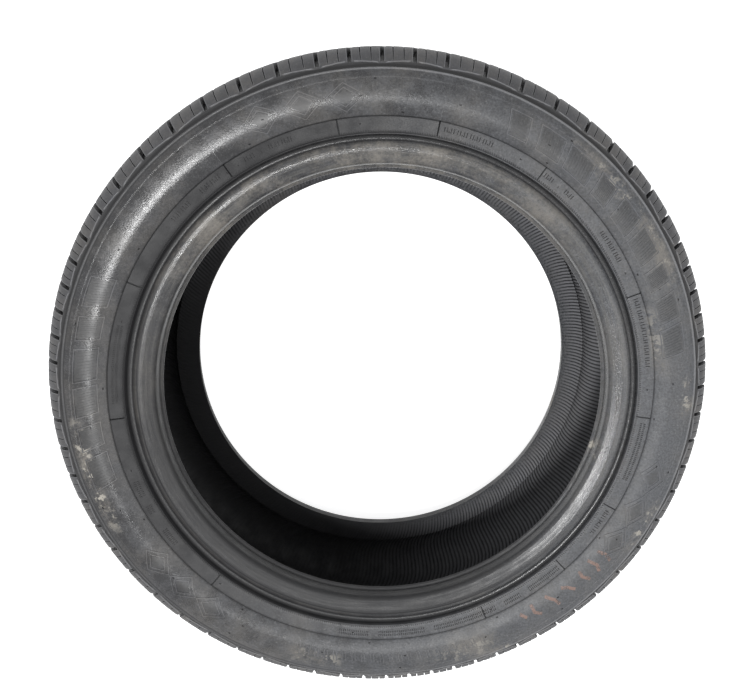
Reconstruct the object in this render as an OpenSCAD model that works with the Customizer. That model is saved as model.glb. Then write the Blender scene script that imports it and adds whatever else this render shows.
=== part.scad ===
// Car tyre in metric size 255/50 R20, moulded and cured as one piece of rubber.
// It lies on its inner sidewall. The spin axis is +Z, the outer sidewall faces +Z,
// and the origin is the centre of the tyre.

/* [Overall size] */
// Diameter of the rim seat that the bead grips
seat_d = 512.8; // [511:0.2:514]
// Height of the section, from the rim seat to the middle of the tread
section_h = 125.1; // [123:0.1:127]
// Width over the two sidewalls at their widest, off the rim
section_w = 240; // [236:1:244]
// Height of the widest circle, as a share of the section's height
belly_share = 0.58; // [0.56:0.01:0.6]

/* [Bead] */
// How far the bead toe lies inside the widest part of the sidewall
toe_inset = 42; // [40:0.5:44]
// Length of the straight part of the bead sole
seat_len = 10; // [8:0.5:11]
// Length of the tapered toe inboard of the seat
toe_len = 4; // [3.5:0.1:5]
// How far the toe lip stands in from the seat
toe_lip = 2.9; // [2:0.1:3.5]
// Radius of the bead heel
heel_r = 7.5; // [6.5:0.5:8.5]
// Radius of the bulge on the bead face
bead_bulge_r = 12.5; // [11.5:0.5:13.5]
// How far the bulge's centre lies outside the heel's
bulge_shift = 9.1; // [8.6:0.1:9.6]
// Radius of the hollow that clears the rim flange
flange_hollow_r = 4; // [3.5:0.1:4.5]
// How far the bottom of the flange hollow stands out past the heel
flange_hollow_rise = 8.5; // [8:0.1:9]
// Height of the flange hollow above the seat
flange_h = 25; // [24.5:0.1:25.5]
// Rise of the bead's inner face from the toe to the sidewall
apex_rise = 8.5; // [7:0.5:10]

/* [Sidewall] */
// Thickness of the sidewall where it is widest
sidewall_t = 9; // [7:0.5:11]
// How far the top of the inner curve lies inside the widest circle
liner_inset = 5; // [3:0.5:8]
// How far the crest of the rim protector lies outside the flange hollow
protector_gap = 0.6; // [0.4:0.1:1]
// Height of the rim protector's crest above the bottom of the flange hollow
protector_rise = 8; // [7.5:0.1:8.5]
// Width of the band between the rim protector and the fine groove above it
text_band_w = 17.2; // [16:0.2:18]
// Depth of that fine groove's place below the widest part of the sidewall
text_band_drop = 8.5; // [7.5:0.1:9.5]
// How far the thin rib below the shoulder lies inside the tread's circle
shoulder_rib_drop = 34; // [32:0.5:36]
// Width of the raised band below the rib
rib_band_w = 8.5; // [7:0.5:10]
// Height of that band
band_step = 0.5; // [0.3:0.1:0.8]
// Size of the fine rib
fine_rib = 1.3; // [0.8:0.1:1.6]
// Size of the fine groove
fine_groove = 0.7; // [0.4:0.1:0.9]

/* [Tread] */
// Radius of the crown across the tread
crown_r = 500; // [470:10:560]
// Half width of the tread that lies on the crown radius
crown_half_w = 87; // [85:0.5:89]
// Radius of the shoulder
shoulder_r = 31.5; // [30.5:0.5:33]
// Depth of the tread grooves
tread_depth = 8; // [6:0.5:9]
// Thickness of rubber and belts below the grooves
undertread_t = 9; // [7:0.5:11]
// Width of the two middle grooves at the surface
middle_groove_w = 10.5; // [8:0.5:12]
// Distance of the middle grooves from the centre line
middle_groove_z = 20; // [18:0.5:22]
// Width of the two outer grooves at the surface
outer_groove_w = 9; // [7:0.5:10]
// Distance of the outer grooves from the centre line
outer_groove_z = 60; // [58:0.5:62]
// Angle of the groove walls
groove_wall_angle = 8; // [4:1:12]
// Size of the groove that parts the shoulder from the sidewall
shoulder_groove = 1.7; // [1.2:0.1:2]
// How far the sidewall stands out past the shoulder's edge there
shoulder_step = 1.8; // [1.4:0.1:2.2]

/* [Tread blocks] */
// Width of the cross grooves in the shoulders
cross_groove_w = 4.2; // [3:0.2:5]
// Width of the slanted end of a cross groove
cross_end_w = 3.6; // [2.6:0.2:4]
// Slant of the cross grooves on the tread
cross_slant = 24; // [15:1:30]
// Width of the sipes
sipe_w = 1; // [0.8:0.1:1.4]
// Depth of the sipes
sipe_depth = 5; // [3:0.5:6]
// Width of the slots in the two ribs beside the middle
slot_w = 3; // [2:0.2:3.6]
// Ratio of a short pitch to a medium one
short_pitch = 0.85; // [0.8:0.01:0.95]
// Ratio of a long pitch to a medium one
long_pitch = 1.22; // [1.1:0.01:1.25]

/* [Hidden] */

// Runs of medium (0), long (1) and short (-1) pitches, clockwise round the tyre
PITCH_RUNS = [
    [4, 0], [4, 1], [1, 0], [11, -1], [4, 0], [4, 1], [8, 0],
    [5, -1], [2, 0], [6, 1], [4, 0], [4, 1], [5, 0], [6, -1]
];
// Angle of the first cross groove from +X
first_pitch_angle = -3;
// Sides of the drawn circle, round the axis
ring_fn = 240;
// How far the cutters stand out past the tread
cut_clear = 4;

seat_r = seat_d / 2;
out_r = seat_r + section_h;
half_w = section_w / 2;
belly_r = seat_r + belly_share * section_h;
toe_z = half_w - toe_inset;
toe_r = seat_r - toe_lip;
heel_z = toe_z + toe_len + seat_len;

// Centres of the curves, as [radius, distance from the centre line].
// The shoulder's curve runs into the crown's at a common tangent, and the bead's bulge
// runs into the flange hollow in the same way.
crown_c = out_r - crown_r;
shoulder_angle = asin(crown_half_w / crown_r);
shoulder_c = [crown_c + (crown_r - shoulder_r) * cos(shoulder_angle),
              (crown_r - shoulder_r) * sin(shoulder_angle)];
heel_c = [seat_r + heel_r, heel_z];
flange_c = [seat_r + flange_h, heel_z + flange_hollow_rise + flange_hollow_r];
bulge_reach = flange_hollow_r + bead_bulge_r;
bulge_a = 180 + acos((flange_c[0] - heel_c[0] - bulge_shift) / bulge_reach);
bulge_c = flange_c + bulge_reach * [cos(bulge_a), sin(bulge_a)];
// Angle at which the bulge and the heel meet the flat face between them
face_tilt = atan((heel_c[1] - bulge_c[1]) / (heel_c[0] - bulge_c[0]));
face_a = 180 + face_tilt - acos((bead_bulge_r - heel_r) / norm(heel_c - bulge_c));

// Radius of the crown, the shoulder and the tread at a distance from the centre line
function crown_at(z) = crown_c + sqrt(pow(crown_r, 2) - z * z);
function shoulder_at(z) = shoulder_c[0] + sqrt(pow(shoulder_r, 2) - pow(z - shoulder_c[1], 2));
function tread_at(z) = z < shoulder_c[1] ? crown_at(z) : shoulder_at(z);

// Points on an arc about c from one angle to another
function arc(c, r, from, to, steps) =
    [for (i = [0:steps]) let (a = from + (to - from) * i / steps) c + r * [cos(a), sin(a)]];
// Points on a quarter of an ellipse about c, from one angle to another
function oval(c, half_axes, from, to, steps) =
    [for (i = [0:steps]) let (a = from + (to - from) * i / steps)
        c + [half_axes[0] * cos(a), half_axes[1] * sin(a)]];
// Angle at which a circle about c reaches a given radius of the tyre
function angle_at(c, r, radius) = acos((radius - c[0]) / r);

// The rings on the sidewall, and its curve: it falls off on both sides of the widest circle
shoulder_rib_r = out_r - shoulder_rib_drop;
rib_band_r = shoulder_rib_r - rib_band_w;
protector_r = flange_c[0] + flange_hollow_r + protector_gap;
protector_z = flange_c[1] - flange_hollow_r + protector_rise;
band_line_r = protector_r + text_band_w;
parting_r = shoulder_rib_r + fine_rib + 2 * shoulder_groove;
parting_a = angle_at(shoulder_c, shoulder_r, parting_r);
shoulder_drop = half_w - shoulder_c[1] - shoulder_r * sin(parting_a) - shoulder_step;
out_fall = shoulder_drop / pow(parting_r - belly_r, 2);
in_fall = text_band_drop / pow(belly_r - band_line_r, 2);
function fall_at(r) = r > belly_r ? out_fall : in_fall;
function side_z(r) = half_w - fall_at(r) * pow(r - belly_r, 2);
// Direction in which the sidewall faces at a radius, and a point out from it by a distance
function facing(r) = 90 - atan(2 * fall_at(r) * (r - belly_r));
function on_side(r, out = 0) = [r, side_z(r)] + out * [cos(facing(r)), sin(facing(r))];
// Points along the sidewall from one radius to another
function side_run(from, to, steps, out = 0) =
    [for (i = [0:steps]) on_side(from + (to - from) * i / steps, out)];

// Walls and floor of one tread groove, from the centre line outwards
function groove_points(z, w) = let (
    edge = w / 2,
    floor_half = edge - tread_depth * tan(groove_wall_angle)
) [
    [crown_at(z - edge), z - edge],
    [crown_at(z) - tread_depth, z - floor_half],
    [crown_at(z) - tread_depth, z + floor_half],
    [crown_at(z + edge), z + edge]
];
rib_middle_z = (middle_groove_z + outer_groove_z) / 2;
crown_points = concat(
    groove_points(middle_groove_z, middle_groove_w),
    [[crown_at(rib_middle_z), rib_middle_z]],
    groove_points(outer_groove_z, outer_groove_w)
);

// Groove at the foot of the shoulder, thin rib and the band below it
rib_out_r = shoulder_rib_r + fine_rib;
shoulder_points = concat(
    arc(shoulder_c, shoulder_r, shoulder_angle, parting_a, 5),
    [on_side(parting_r - shoulder_groove, -shoulder_groove), on_side(rib_out_r, -shoulder_groove)],
    arc(on_side(shoulder_rib_r), fine_rib, facing(rib_out_r) - 60, facing(shoulder_rib_r) + 45, 4),
    side_run(shoulder_rib_r - 1.5 * fine_rib, rib_band_r, 3, band_step)
);
side_points = concat(
    side_run(rib_band_r, belly_r, 4),
    side_run(belly_r + (band_line_r - belly_r) / 8, band_line_r + fine_groove, 7)
);

// Fine groove, text band, rim protector and the hollow for the rim flange
lower_points = concat(
    [[band_line_r, side_z(band_line_r) - fine_groove],
     [band_line_r - fine_groove, side_z(band_line_r)],
     [protector_r + 3 * fine_groove, protector_z],
     [protector_r + 2 * fine_groove, protector_z - fine_groove],
     [protector_r + fine_groove, protector_z],
     [protector_r, protector_z]],
    arc(flange_c, flange_hollow_r, 354, bulge_a, 6)
);

// Bulge, flat bead face, heel, straight seat, fine groove and tapered toe
bead_points = concat(
    arc(bulge_c, bead_bulge_r, bulge_a - 168, face_a, 4),
    arc(heel_c, heel_r, face_a, 180, 5),
    [[seat_r, heel_z - seat_len],
     [seat_r + fine_groove, heel_z - seat_len - fine_groove],
     [toe_r + toe_lip / 3, toe_z + toe_len / 2],
     [toe_r, toe_z + toe_len / 4],
     [toe_r, toe_z]]
);

// Air side, from the toe round the sidewall and along the belts to the centre line
inner_crown_r = crown_r - tread_depth - undertread_t;
liner_end = [crown_c, 0] + inner_crown_r * [cos(shoulder_angle), sin(shoulder_angle)];
liner_top = [belly_r - liner_inset, half_w - sidewall_t];
apex = [protector_r, toe_z + apex_rise];
liner_points = concat(
    oval([liner_top[0], apex[1]], liner_top - apex, 180, 90, 8),
    oval([liner_top[0], liner_end[1]], [liner_end[0] - liner_top[0], liner_top[1] - liner_end[1]], 80, 0, 8),
    arc([crown_c, 0], inner_crown_r, shoulder_angle * 2 / 3, shoulder_angle / 3, 1)
);

half_section = concat(crown_points, shoulder_points, side_points, lower_points,
                      bead_points, liner_points);
mirrored_half = [for (i = [len(half_section) - 1:-1:0]) [half_section[i][0], -half_section[i][1]]];
section = concat([[out_r, 0]], half_section, [[crown_c + inner_crown_r, 0]], mirrored_half);

// Pitches of the tread blocks, in order round the tyre
function pitch_ratio(class) = class == 0 ? 1 : class > 0 ? long_pitch : short_pitch;
pitch_ratios = [for (run = PITCH_RUNS) for (i = [1:run[0]]) pitch_ratio(run[1])];
pitch_count = len(pitch_ratios);
function sum_to(values, n, i = 0) = i >= n ? 0 : values[i] + sum_to(values, n, i + 1);
medium_angle = 360 / sum_to(pitch_ratios, pitch_count);
function pitch_start(i) = first_pitch_angle - medium_angle * sum_to(pitch_ratios, i);
function pitch_angle(i) = medium_angle * pitch_ratios[i];

// Where the cross grooves bend, and where they and the sipes run out on the shoulder
bend_z = crown_half_w + 6;
groove_foot_z = shoulder_c[1] + shoulder_r * sin(parting_a - 3);
sipe_foot_z = shoulder_c[1] + shoulder_r * sin(parting_a - 9);
sipe_bend_z = shoulder_c[1] + 0.5 * shoulder_r;
sipe_start_z = outer_groove_z + outer_groove_w / 2 + 0.5 * shoulder_r;
slot_len = 0.5 * (outer_groove_z - middle_groove_z);
slot_end_z = outer_groove_z - slot_len * cos(cross_slant);

module carcass() {
    rotate_extrude($fn = ring_fn) polygon(section);
}

// Prism of a given width that cuts the tread outside a floor line in [radius, z]
module radial_cut(floor_line, w) {
    rotate([90, 0, 0]) linear_extrude(height = w, center = true) polygon(floor_line);
}

// Bar that runs inwards from z along the tread, with its floor between two radii
module slanted_cut(floor_from, floor_to, z, w, length, slant) {
    floor_slope = atan((floor_to - floor_from) / length);
    translate([floor_from, 0, z]) rotate([slant, 0, 0]) rotate([0, -floor_slope, 0])
        translate([0, -w / 2, -length]) cube([tread_depth + 3 * cut_clear, w, length]);
}

// Groove across one shoulder, straight over the edge and slanted on the tread
module cross_groove() {
    top_z = bend_z - cut_clear;
    radial_cut([
        [tread_at(bend_z) - 0.9 * tread_depth, top_z],
        [shoulder_at(groove_foot_z) + 0.6, groove_foot_z],
        [shoulder_at(groove_foot_z) + cut_clear, groove_foot_z + cut_clear],
        [out_r + cut_clear, groove_foot_z], [out_r + cut_clear, top_z]
    ], cross_groove_w);
    slanted_cut(tread_at(bend_z) - 0.7 * tread_depth, crown_at(outer_groove_z) - 0.85 * tread_depth,
                bend_z, cross_end_w, (bend_z - outer_groove_z) / cos(cross_slant), -cross_slant);
}

// Fine cut across one shoulder
module shoulder_sipe() {
    radial_cut([
        [tread_at(sipe_start_z) - sipe_depth, sipe_start_z],
        [shoulder_at(sipe_bend_z) - sipe_depth, sipe_bend_z],
        [shoulder_at(sipe_foot_z) - 0.2, sipe_foot_z],
        [out_r + cut_clear, sipe_foot_z], [out_r + cut_clear, sipe_start_z]
    ], sipe_w);
}

// Slot from the outer groove into the rib beside the middle
module rib_slot() {
    slanted_cut(crown_at(outer_groove_z) - 0.7 * tread_depth, crown_at(slot_end_z) - 0.6 * tread_depth,
                outer_groove_z, slot_w, slot_len, cross_slant);
}

module shoulder_cuts() {
    for (i = [0:pitch_count - 1]) {
        rotate([0, 0, pitch_start(i)]) {
            cross_groove();
            rib_slot();
        }
        for (share = [1 / 3, 2 / 3])
            rotate([0, 0, pitch_start(i) - share * pitch_angle(i)]) shoulder_sipe();
    }
}

module tyre() {
    color([0.2, 0.2, 0.21]) difference() {
        carcass();
        shoulder_cuts();
        mirror([0, 0, 1]) shoulder_cuts();
    }
}

tyre();
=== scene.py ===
"""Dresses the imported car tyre: fine skins over its solid, moulded marks, finishes, light and camera."""

from __future__ import annotations

import logging
import math
from dataclasses import dataclass, field, replace
from enum import Enum, IntEnum
from typing import Iterable, Optional, Sequence

import bpy
import numpy as np
from mathutils import Matrix, Vector

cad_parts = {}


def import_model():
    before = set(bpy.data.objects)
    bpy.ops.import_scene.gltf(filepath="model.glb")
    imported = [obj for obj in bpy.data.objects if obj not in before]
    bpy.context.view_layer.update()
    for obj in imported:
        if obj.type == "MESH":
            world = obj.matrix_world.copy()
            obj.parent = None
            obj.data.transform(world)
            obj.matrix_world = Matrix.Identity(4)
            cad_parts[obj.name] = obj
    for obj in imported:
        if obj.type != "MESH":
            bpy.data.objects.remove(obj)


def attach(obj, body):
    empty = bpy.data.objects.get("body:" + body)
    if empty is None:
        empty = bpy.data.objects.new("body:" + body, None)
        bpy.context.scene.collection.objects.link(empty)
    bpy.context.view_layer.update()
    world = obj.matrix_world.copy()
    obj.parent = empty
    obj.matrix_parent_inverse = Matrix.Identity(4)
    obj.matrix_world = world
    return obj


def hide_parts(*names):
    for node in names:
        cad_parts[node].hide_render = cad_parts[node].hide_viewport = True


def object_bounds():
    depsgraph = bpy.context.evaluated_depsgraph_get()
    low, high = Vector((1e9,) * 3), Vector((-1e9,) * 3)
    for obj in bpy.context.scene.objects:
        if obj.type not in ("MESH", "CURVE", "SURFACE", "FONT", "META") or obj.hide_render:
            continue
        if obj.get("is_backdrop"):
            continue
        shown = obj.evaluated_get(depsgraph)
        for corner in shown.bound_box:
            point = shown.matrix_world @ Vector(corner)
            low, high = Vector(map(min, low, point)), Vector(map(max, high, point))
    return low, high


MM = 0.001
LOG = logging.getLogger("car_tyre")

# Radius in millimetres that stands for no cut at all
NO_CUT = 1000.0

# Radius in millimetres at which the angles of the marks are turned into lengths
MARK_R = 320.0

# How far the marks reach into the wall, in millimetres
MARK_ROOT = 0.25

# Points in metres and the corner numbers of four-cornered faces
Part = tuple[np.ndarray, np.ndarray]

# Runs of medium (0), long (1) and short (-1) pitches, clockwise round the tyre
PITCH_RUNS = (
    (4, 0), (4, 1), (1, 0), (11, -1), (4, 0), (4, 1), (8, 0),
    (5, -1), (2, 0), (6, 1), (4, 0), (4, 1), (5, 0), (6, -1),
)


class Face(Enum):
    """The two faces of the tyre. OUTER lies up and shows in the main view."""

    OUTER = 1
    INNER = -1


class Cut(IntEnum):
    """What a column of the tread belongs to."""

    BLOCK = 0
    CROSS = 1
    SIPE = 2


@dataclass(frozen=True)
class Section:
    """Sizes of the moulded section in millimetres. All but the crest's two are as the solid has them."""

    seat_r: float = 256.4
    section_h: float = 125.1
    half_w: float = 120.0
    belly_share: float = 0.58
    toe_inset: float = 42.0
    seat_len: float = 10.0
    toe_len: float = 4.0
    toe_lip: float = 2.9
    heel_r: float = 7.5
    bead_bulge_r: float = 12.5
    bulge_shift: float = 9.1
    flange_hollow_r: float = 4.0
    flange_hollow_rise: float = 8.5
    flange_h: float = 25.0
    apex_rise: float = 8.5
    sidewall_t: float = 9.0
    liner_inset: float = 5.0
    protector_gap: float = 0.6
    protector_rise: float = 8.0
    text_band_w: float = 17.2
    text_band_drop: float = 8.5
    shoulder_rib_drop: float = 34.0
    rib_band_w: float = 8.5
    band_step: float = 0.5
    fine_rib: float = 1.3
    fine_groove: float = 0.7
    crown_r: float = 500.0
    crown_half_w: float = 87.0
    shoulder_r: float = 31.5
    tread_depth: float = 8.0
    undertread_t: float = 9.0
    middle_groove_w: float = 10.5
    middle_groove_z: float = 20.0
    outer_groove_w: float = 9.0
    outer_groove_z: float = 60.0
    groove_wall_angle: float = 8.0
    shoulder_groove: float = 1.7
    shoulder_step: float = 1.8
    crest_sink: float = 0.0
    crest_half_w: float = 14.0

    @property
    def out_r(self) -> float:
        """Radius of the tread at the centre line."""
        return self.seat_r + self.section_h

    @property
    def belly_r(self) -> float:
        """Radius of the widest circle."""
        return self.seat_r + self.belly_share * self.section_h

    @property
    def toe_z(self) -> float:
        """Distance of the toe from the centre line."""
        return self.half_w - self.toe_inset

    @property
    def toe_r(self) -> float:
        """Radius of the toe lip."""
        return self.seat_r - self.toe_lip

    @property
    def heel_c(self) -> np.ndarray:
        """Centre of the heel's curve."""
        return np.array([self.seat_r + self.heel_r, self.toe_z + self.toe_len + self.seat_len])

    @property
    def crown_c(self) -> float:
        """Radius at which the crown's curve has its centre."""
        return self.out_r - self.crown_r

    @property
    def shoulder_angle(self) -> float:
        """Angle at which the shoulder takes over from the crown, in degrees."""
        return math.degrees(math.asin(self.crown_half_w / self.crown_r))

    @property
    def shoulder_c(self) -> np.ndarray:
        """Centre of the shoulder's curve."""
        reach = self.crown_r - self.shoulder_r
        angle = math.radians(self.shoulder_angle)
        return np.array([self.crown_c + reach * math.cos(angle), reach * math.sin(angle)])

    @property
    def flange_c(self) -> np.ndarray:
        """Centre of the hollow for the rim flange."""
        return np.array([
            self.seat_r + self.flange_h,
            self.heel_c[1] + self.flange_hollow_rise + self.flange_hollow_r,
        ])

    @property
    def bulge_a(self) -> float:
        """Angle at which the flange hollow meets the bead's bulge, in degrees."""
        reach = self.flange_hollow_r + self.bead_bulge_r
        return 180 + math.degrees(math.acos((self.flange_c[0] - self.heel_c[0] - self.bulge_shift) / reach))

    @property
    def bulge_c(self) -> np.ndarray:
        """Centre of the bead's bulge."""
        reach = self.flange_hollow_r + self.bead_bulge_r
        angle = math.radians(self.bulge_a)
        return self.flange_c + reach * np.array([math.cos(angle), math.sin(angle)])

    @property
    def face_a(self) -> float:
        """Angle at which the bulge and the heel meet the flat face between them, in degrees."""
        step = self.heel_c - self.bulge_c
        tilt = math.degrees(math.atan(step[1] / step[0]))
        return 180 + tilt - math.degrees(math.acos((self.bead_bulge_r - self.heel_r) / math.hypot(*step)))

    @property
    def rib_r(self) -> float:
        """Radius of the thin rib below the shoulder."""
        return self.out_r - self.shoulder_rib_drop

    @property
    def rib_band_r(self) -> float:
        """Radius of the foot of the rib's band."""
        return self.rib_r - self.rib_band_w

    @property
    def protector_r(self) -> float:
        """Radius of the rim protector's crest."""
        return self.flange_c[0] + self.flange_hollow_r + self.protector_gap

    @property
    def protector_z(self) -> float:
        """Distance of that crest from the centre line."""
        return self.flange_c[1] - self.flange_hollow_r + self.protector_rise

    @property
    def band_line_r(self) -> float:
        """Radius of the fine groove above the text band."""
        return self.protector_r + self.text_band_w

    @property
    def parting_r(self) -> float:
        """Radius of the shoulder's lower edge."""
        return self.rib_r + self.fine_rib + 2 * self.shoulder_groove

    @property
    def parting_a(self) -> float:
        """Angle of that edge on the shoulder's curve, in degrees."""
        return math.degrees(math.acos((self.parting_r - self.shoulder_c[0]) / self.shoulder_r))

    @property
    def parting_z(self) -> float:
        """Distance of that edge from the centre line."""
        return self.shoulder_c[1] + self.shoulder_r * math.sin(math.radians(self.parting_a))

    def crown_at(self, z: float) -> float:
        """Radius of the crown at a distance from the centre line."""
        return self.crown_c + math.sqrt(self.crown_r ** 2 - z * z)

    def shoulder_at(self, z: float) -> float:
        """Radius of the shoulder at a distance from the centre line."""
        return self.shoulder_c[0] + math.sqrt(max(self.shoulder_r ** 2 - (z - self.shoulder_c[1]) ** 2, 0.0))

    def tread_at(self, z: float) -> float:
        """Radius of the tread's outer surface at a distance from the centre line."""
        return self.crown_at(z) if z < self.shoulder_c[1] else self.shoulder_at(z)

    def fall_at(self, r: np.ndarray) -> np.ndarray:
        """How fast the sidewall falls off from the widest circle, on the side of a radius."""
        drop = self.half_w - self.parting_z - self.shoulder_step
        out_fall = drop / (self.parting_r - self.belly_r) ** 2
        in_fall = self.text_band_drop / (self.belly_r - self.band_line_r) ** 2
        return np.where(np.asarray(r) > self.belly_r, out_fall, in_fall)

    def side_z(self, r: np.ndarray) -> np.ndarray:
        """Distance of the sidewall from the centre line at a radius."""
        r = np.asarray(r, float)
        return self.half_w - self.fall_at(r) * (r - self.belly_r) ** 2

    def facing(self, r: np.ndarray) -> np.ndarray:
        """Direction in which the sidewall faces at a radius, in degrees from the radius."""
        r = np.asarray(r, float)
        return 90 - np.degrees(np.arctan(2 * self.fall_at(r) * (r - self.belly_r)))

    def on_side(self, r: np.ndarray, out: float = 0.0) -> np.ndarray:
        """Points on the sidewall at some radii, moved out from it by a distance."""
        r = np.asarray(r, float)
        a = np.radians(self.facing(r))
        crest = np.cos(np.clip((r - self.belly_r) / self.crest_half_w, -1, 1) * math.pi / 2) ** 2
        return np.stack([r + out * np.cos(a), self.side_z(r) + out * np.sin(a) - self.crest_sink * crest], -1)

    def on_text_band(self, r: np.ndarray, out: float = 0.0) -> np.ndarray:
        """Points on the straight text band at some radii, moved out from it by a distance."""
        r = np.asarray(r, float)
        top = np.array([self.band_line_r - self.fine_groove, float(self.side_z(self.band_line_r))])
        foot = np.array([self.protector_r + 3 * self.fine_groove, self.protector_z])
        slope = (top[1] - foot[1]) / (top[0] - foot[0])
        length = math.hypot(1, slope)
        z = foot[1] + (r - foot[0]) * slope
        return np.stack([r - out * slope / length, z + out / length], -1)

    def surface(self, r: np.ndarray, out: float = 0.0) -> np.ndarray:
        """Points on the outer wall at some radii, whichever band they lie in."""
        r = np.asarray(r, float)
        upper = (r > self.band_line_r)[..., None]
        return np.where(upper, self.on_side(r, out), self.on_text_band(r, out))


def arc(c: Sequence[float], r: float, start: float, end: float, steps: int) -> list[tuple[float, float]]:
    """Points on an arc.

    Args:
        c: Centre, as radius and distance from the centre line.
        r: Radius of the arc.
        start: First angle in degrees.
        end: Last angle in degrees.
        steps: Number of steps between them.

    Returns:
        The points in order.
    """
    return oval(c, (r, r), start, end, steps)


def oval(
    c: Sequence[float], half_axes: Sequence[float], start: float, end: float, steps: int
) -> list[tuple[float, float]]:
    """Points on part of an ellipse, with the arguments of arc and two half axes."""
    angles = np.radians(np.linspace(start, end, steps + 1))
    return [(c[0] + half_axes[0] * math.cos(a), c[1] + half_axes[1] * math.sin(a)) for a in angles]


def soften(points: Sequence[Sequence[float]], reach: float, limit: float = 14.0) -> np.ndarray:
    """Cuts the corners of an open path, so that they catch the light as moulded edges do.

    Args:
        points: The path.
        reach: Most that a cut runs back from its corner.
        limit: Turns below this angle in degrees stay as they are.

    Returns:
        The new path.
    """
    path = np.asarray(points, float)
    out = [path[0]]
    for before, here, after in zip(path[:-2], path[1:-1], path[2:]):
        one, two = here - before, after - here
        len_one, len_two = np.hypot(*one), np.hypot(*two)
        if len_one < 1e-6 or len_two < 1e-6:
            continue
        turn = math.degrees(math.acos(np.clip(np.dot(one, two) / len_one / len_two, -1, 1)))
        if turn < limit:
            out.append(here)
            continue
        cut = min(reach, 0.4 * len_one, 0.4 * len_two)
        out.append(here - one / len_one * cut)
        if turn > 40:
            out.append(here + (two / len_two - one / len_one) * cut * 0.3)
        out.append(here + two / len_two * cut)
    out.append(path[-1])
    return np.array(out)


def outward(points: np.ndarray, faces: Sequence[Sequence[int]]) -> np.ndarray:
    """Turns all the four-cornered faces of a closed piece round if they point inwards."""
    quads = np.asarray(faces)
    a, b, c, d = (points[quads[:, k]] for k in range(4))
    volume = (a * np.cross(b, c)).sum() + (a * np.cross(c, d)).sum()
    return quads if volume > 0 else quads[:, ::-1]


def shell(name: str, rings: np.ndarray, masks: dict[str, np.ndarray]) -> bpy.types.Object:
    """Makes a closed ring-shaped skin from a grid that wraps round both ways.

    Args:
        name: Name of the piece.
        rings: Points in metres, as rows by columns by three.
        masks: Point attributes by name, as rows by columns.

    Returns:
        The new object, with its faces pointing outwards.
    """
    rows, cols = rings.shape[:2]
    i, j = np.meshgrid(np.arange(rows), np.arange(cols), indexing="ij")
    ni, nj = (i + 1) % rows, (j + 1) % cols
    quads = np.stack([i * cols + j, i * cols + nj, ni * cols + nj, ni * cols + j], -1).reshape(-1, 4)
    points = rings.reshape(-1, 3)
    return plain_mesh(name, points, outward(points, quads), {k: v.reshape(-1) for k, v in masks.items()})


def plain_mesh(
    name: str,
    points: np.ndarray,
    faces: Iterable[Sequence[int]],
    masks: Optional[dict[str, np.ndarray]] = None,
    sharp: float = 38.0,
) -> bpy.types.Object:
    """Makes a smooth-shaded mesh object at the origin.

    Args:
        name: Name of the piece.
        points: Points in metres.
        faces: Corner numbers of each face.
        masks: Point attributes by name.
        sharp: Edges that turn by more than this angle in degrees stay sharp.

    Returns:
        The new object.
    """
    mesh = bpy.data.meshes.new(name)
    faces = faces.tolist() if isinstance(faces, np.ndarray) else [list(f) for f in faces]
    mesh.from_pydata(np.asarray(points, float).tolist(), [], faces)
    for key, values in (masks or {}).items():
        layer = mesh.attributes.new(key, "FLOAT", "POINT")
        layer.data.foreach_set("value", np.asarray(values, np.float32).ravel())
    mesh.shade_smooth()
    mesh.set_sharp_from_angle(angle=math.radians(sharp))
    mesh.update()
    piece = bpy.data.objects.new(name, mesh)
    bpy.context.scene.collection.objects.link(piece)
    return piece


def turn_out(radius: np.ndarray, z: np.ndarray, angle: np.ndarray, face: Face) -> np.ndarray:
    """Turns radii, distances and angles into points in metres.

    Args:
        radius: Radii in millimetres.
        z: Distances from the centre line in millimetres.
        angle: Angles round the axis in radians.
        face: The face on which they lie.

    Returns:
        The points.
    """
    return np.stack([radius * np.cos(angle), radius * np.sin(angle), z * face.value + 0 * radius], -1) * MM


def settle(piece: bpy.types.Object, material: bpy.types.Material) -> bpy.types.Object:
    """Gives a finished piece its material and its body."""
    piece.data.materials.clear()
    piece.data.materials.append(material)
    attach(piece, "root")
    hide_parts("tyre")
    LOG.info("%s: %d faces", piece.name, len(piece.data.polygons))
    return piece


@dataclass(frozen=True)
class Pitches:
    """Pitches of the tread blocks, in order clockwise round the tyre."""

    short: float = 0.85
    long: float = 1.22
    first: float = -3.0

    def starts(self) -> np.ndarray:
        """Angles in degrees at which the pitches start, with the end of the last one added."""
        ratio = {0: 1.0, 1: self.long, -1: self.short}
        ratios = np.array([ratio[kind] for count, kind in PITCH_RUNS for _ in range(count)])
        steps = 360 * ratios / ratios.sum()
        return self.first - np.concatenate([[0.0], np.cumsum(steps)])


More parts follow.
